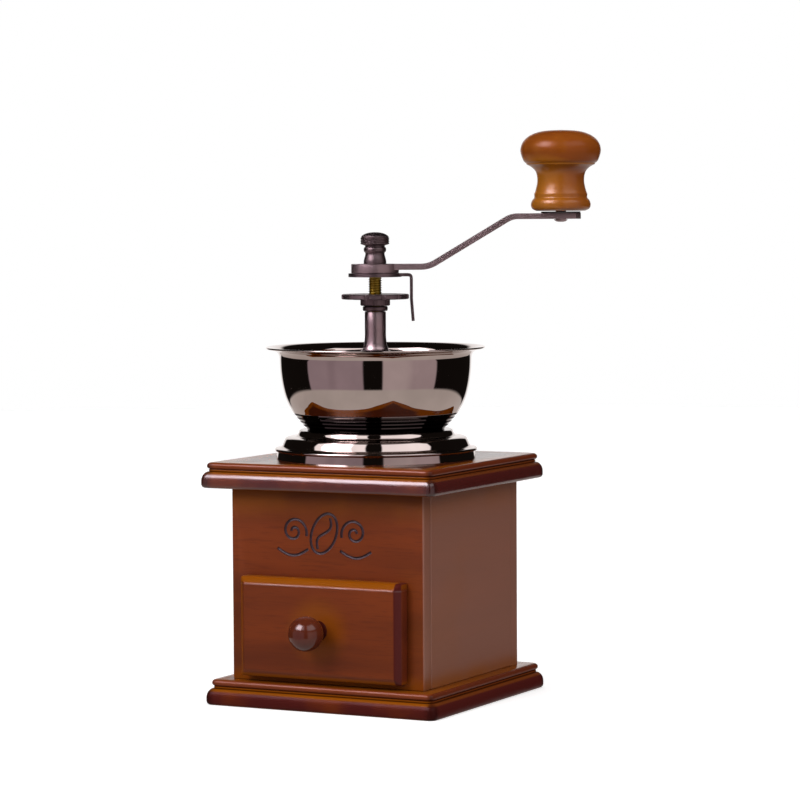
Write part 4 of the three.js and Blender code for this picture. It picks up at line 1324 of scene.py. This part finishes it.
class GRINDER_OT_stage(bpy.types.Operator):
    """Sets the floor, the soft lights, the surroundings and the camera"""

    bl_idname = "grinder.stage"
    bl_label = "Floor, lights and camera"

    def execute(self, context):
        self.make_floor()
        self.make_world()
        self.make_lights()
        self.make_camera()
        return {"FINISHED"}

    def make_floor(self):
        """A pale table that shows and takes shadows; the surroundings stand for its light."""
        floor = drum("floor", 2.0, -0.004, 0.0, sides=96)
        build = Finish("floor_paper", 0.9)
        tone = build.noise(build.place, 3.0, 2.0)
        build.set("Base Color", build.mix(tone, (0.88, 0.88, 0.88), (0.92, 0.92, 0.92)))
        build.set("Emission Color", (1, 1, 1)).set("Emission Strength", 0.45)
        floor.data.materials.append(build.material)
        floor.visible_glossy = False
        floor.visible_diffuse = False

    def make_world(self):
        """White to the eye and even on matt faces; polished faces mirror two screens with a dark
        gap between them, softboxes overhead, the pale table in front and the sweep behind."""
        world = bpy.data.worlds.new("studio")
        bpy.context.scene.world = world
        world.use_nodes = True
        world.cycles.sampling_method = "NONE"
        build = Nodes(world.node_tree)
        facing, right = camera_axes()
        direction = build.node("TexCoord").outputs["Generated"]
        towards = build.vector_math("DOT_PRODUCT", direction, facing)
        across = build.vector_math("DOT_PRODUCT", direction, right)
        azimuth = build.times(build.math("ARCTAN2", across, towards), 180 / math.pi)
        height = build.node("SeparateXYZ", Vector=direction).outputs["Z"]
        rise = build.times(build.math("ARCSINE", height), 180 / math.pi)
        left = build.band(azimuth, -89, -15, 1.5)
        right = build.band(azimuth, 9, 79, 1.5)
        low_part = build.ramp(rise, 12, 20, 1.0, 0.0)
        fold = build.times(build.band(azimuth, -60, -50, 4), 0.3)
        fold = build.plus(fold, build.ramp(azimuth, 36, 50, 0.0, 0.45))
        left_sheet = build.mix(fold, (0.43, 0.33, 0.37), (0.28, 0.2, 0.23))
        right_sheet = build.mix(fold, (0.64, 0.53, 0.54), (0.40, 0.29, 0.33))
        seen = build.mix(build.times(left, low_part), (0.009, 0.007, 0.006), left_sheet)
        seen = build.mix(build.times(right, low_part), seen, right_sheet)
        both = build.plus(left, right)
        overhead = build.times(both, build.band(rise, 27, 58, 3))
        seen = build.mix(overhead, seen, (1.7, 1.62, 1.66))
        hot = build.times(build.band(azimuth, -76, -38, 4), build.band(rise, 25, 53, 3))
        seen = build.mix(hot, seen, (14.0, 12.4, 13.6))
        sweep = build.times(build.ramp(build.size_of(azimuth), 156, 162),
                           build.ramp(rise, 14, 22, 1.0, 0.0))
        seen = build.mix(sweep, seen, (1.05, 1.01, 1.0))
        table_edge = build.math("MULTIPLY_ADD", build.math("COSINE", build.math("ARCTAN2", across, towards)),
                                -6.0, -19.3)
        below = build.ramp(build.minus(rise, table_edge), -1.0, 1.0, 1.0, 0.0)
        seen = build.mix(below, seen, (0.65, 0.58, 0.55))
        path = build.node("LightPath")
        matt = build.mix(build.ramp(rise, -8, 8), (0.22, 0.2, 0.19), (0.6, 0.6, 0.6))
        seen = build.mix(path.outputs["Is Diffuse Ray"], seen, matt)
        seen = build.mix(path.outputs["Is Camera Ray"], seen, (1, 1, 1))
        build.put(build.tree.nodes["Background"].inputs["Color"], seen)

    def make_lights(self):
        facing, right = camera_axes()
        distance, height = 0.9, 0.68
        for side, turn_by, power in ((-1, 42, 5.0), (1, 38, 3.6)):
            angle = side * math.radians(turn_by)
            spot = (facing * math.cos(angle) + right * math.sin(angle)) * distance + Vector((0, 0, height))
            deselect_all()
            bpy.ops.object.light_add(type="AREA", location=spot)
            lamp = bpy.context.object
            lamp.name = "softbox_left" if side < 0 else "softbox_right"
            lamp.data.shape = "RECTANGLE"
            lamp.data.size, lamp.data.size_y = 0.42, 0.6
            lamp.data.energy = power
            lamp.visible_glossy = False
            lamp.rotation_euler = (Vector((0, 0, 0.12)) - spot).to_track_quat("-Z", "Y").to_euler()

    def make_camera(self):
        elevation, roll = math.radians(3.42), math.radians(0.32)
        facing, right = camera_axes()
        back = facing * math.cos(elevation) + Vector((0, 0, math.sin(elevation)))
        up = back.cross(right)
        target = right * 0.01026 + Vector((0, 0, 0.1263))
        level_right = right * math.cos(roll) - up * math.sin(roll)
        level_up = up * math.cos(roll) + right * math.sin(roll)
        camera = bpy.data.objects.new("camera", bpy.data.cameras.new("camera"))
        bpy.context.scene.collection.objects.link(camera)
        turned = Matrix((level_right, level_up, back)).transposed().to_4x4()
        camera.matrix_world = Matrix.Translation(target + back * 1.392) @ turned
        camera.data.lens = 147.6
        camera.data.sensor_width = 36
        camera.data.clip_end = 50
        bpy.context.scene.camera = camera
        bpy.context.scene.view_settings.view_transform = "Standard"


class GRINDER_PT_panel(bpy.types.Panel):
    """Lists the grinder's settings and the steps that build it"""

    bl_idname = "GRINDER_PT_panel"
    bl_label = "Burr coffee grinder"
    bl_space_type = "VIEW_3D"
    bl_region_type = "UI"
    bl_category = "Grinder"

    def draw(self, context):
        for group in (context.scene.grinder_sizes, context.scene.grinder_colours):
            column = self.layout.column()
            for name in group.__annotations__:
                column.prop(group, name)
        for step in STEPS:
            self.layout.operator(step.bl_idname)


STEPS = (
    GRINDER_OT_plates,
    GRINDER_OT_panels,
    GRINDER_OT_drawer,
    GRINDER_OT_base_screws,
    GRINDER_OT_hopper,
    GRINDER_OT_burrs,
    GRINDER_OT_bridge,
    GRINDER_OT_adjuster,
    GRINDER_OT_crank,
    GRINDER_OT_knob,
    GRINDER_OT_stage,
)
CLASSES = (GrinderSizes, GrinderColours, *STEPS, GRINDER_PT_panel)


def register():
    for cls in CLASSES:
        bpy.utils.register_class(cls)
    bpy.types.Scene.grinder_sizes = bpy.props.PointerProperty(type=GrinderSizes)
    bpy.types.Scene.grinder_colours = bpy.props.PointerProperty(type=GrinderColours)


def unregister():
    del bpy.types.Scene.grinder_colours
    del bpy.types.Scene.grinder_sizes
    for cls in reversed(CLASSES):
        bpy.utils.unregister_class(cls)


def main():
    register()
    for step in STEPS:
        group, name = step.bl_idname.split(".")
        getattr(getattr(bpy.ops, group), name)()


if __name__ == "__main__":
    main()
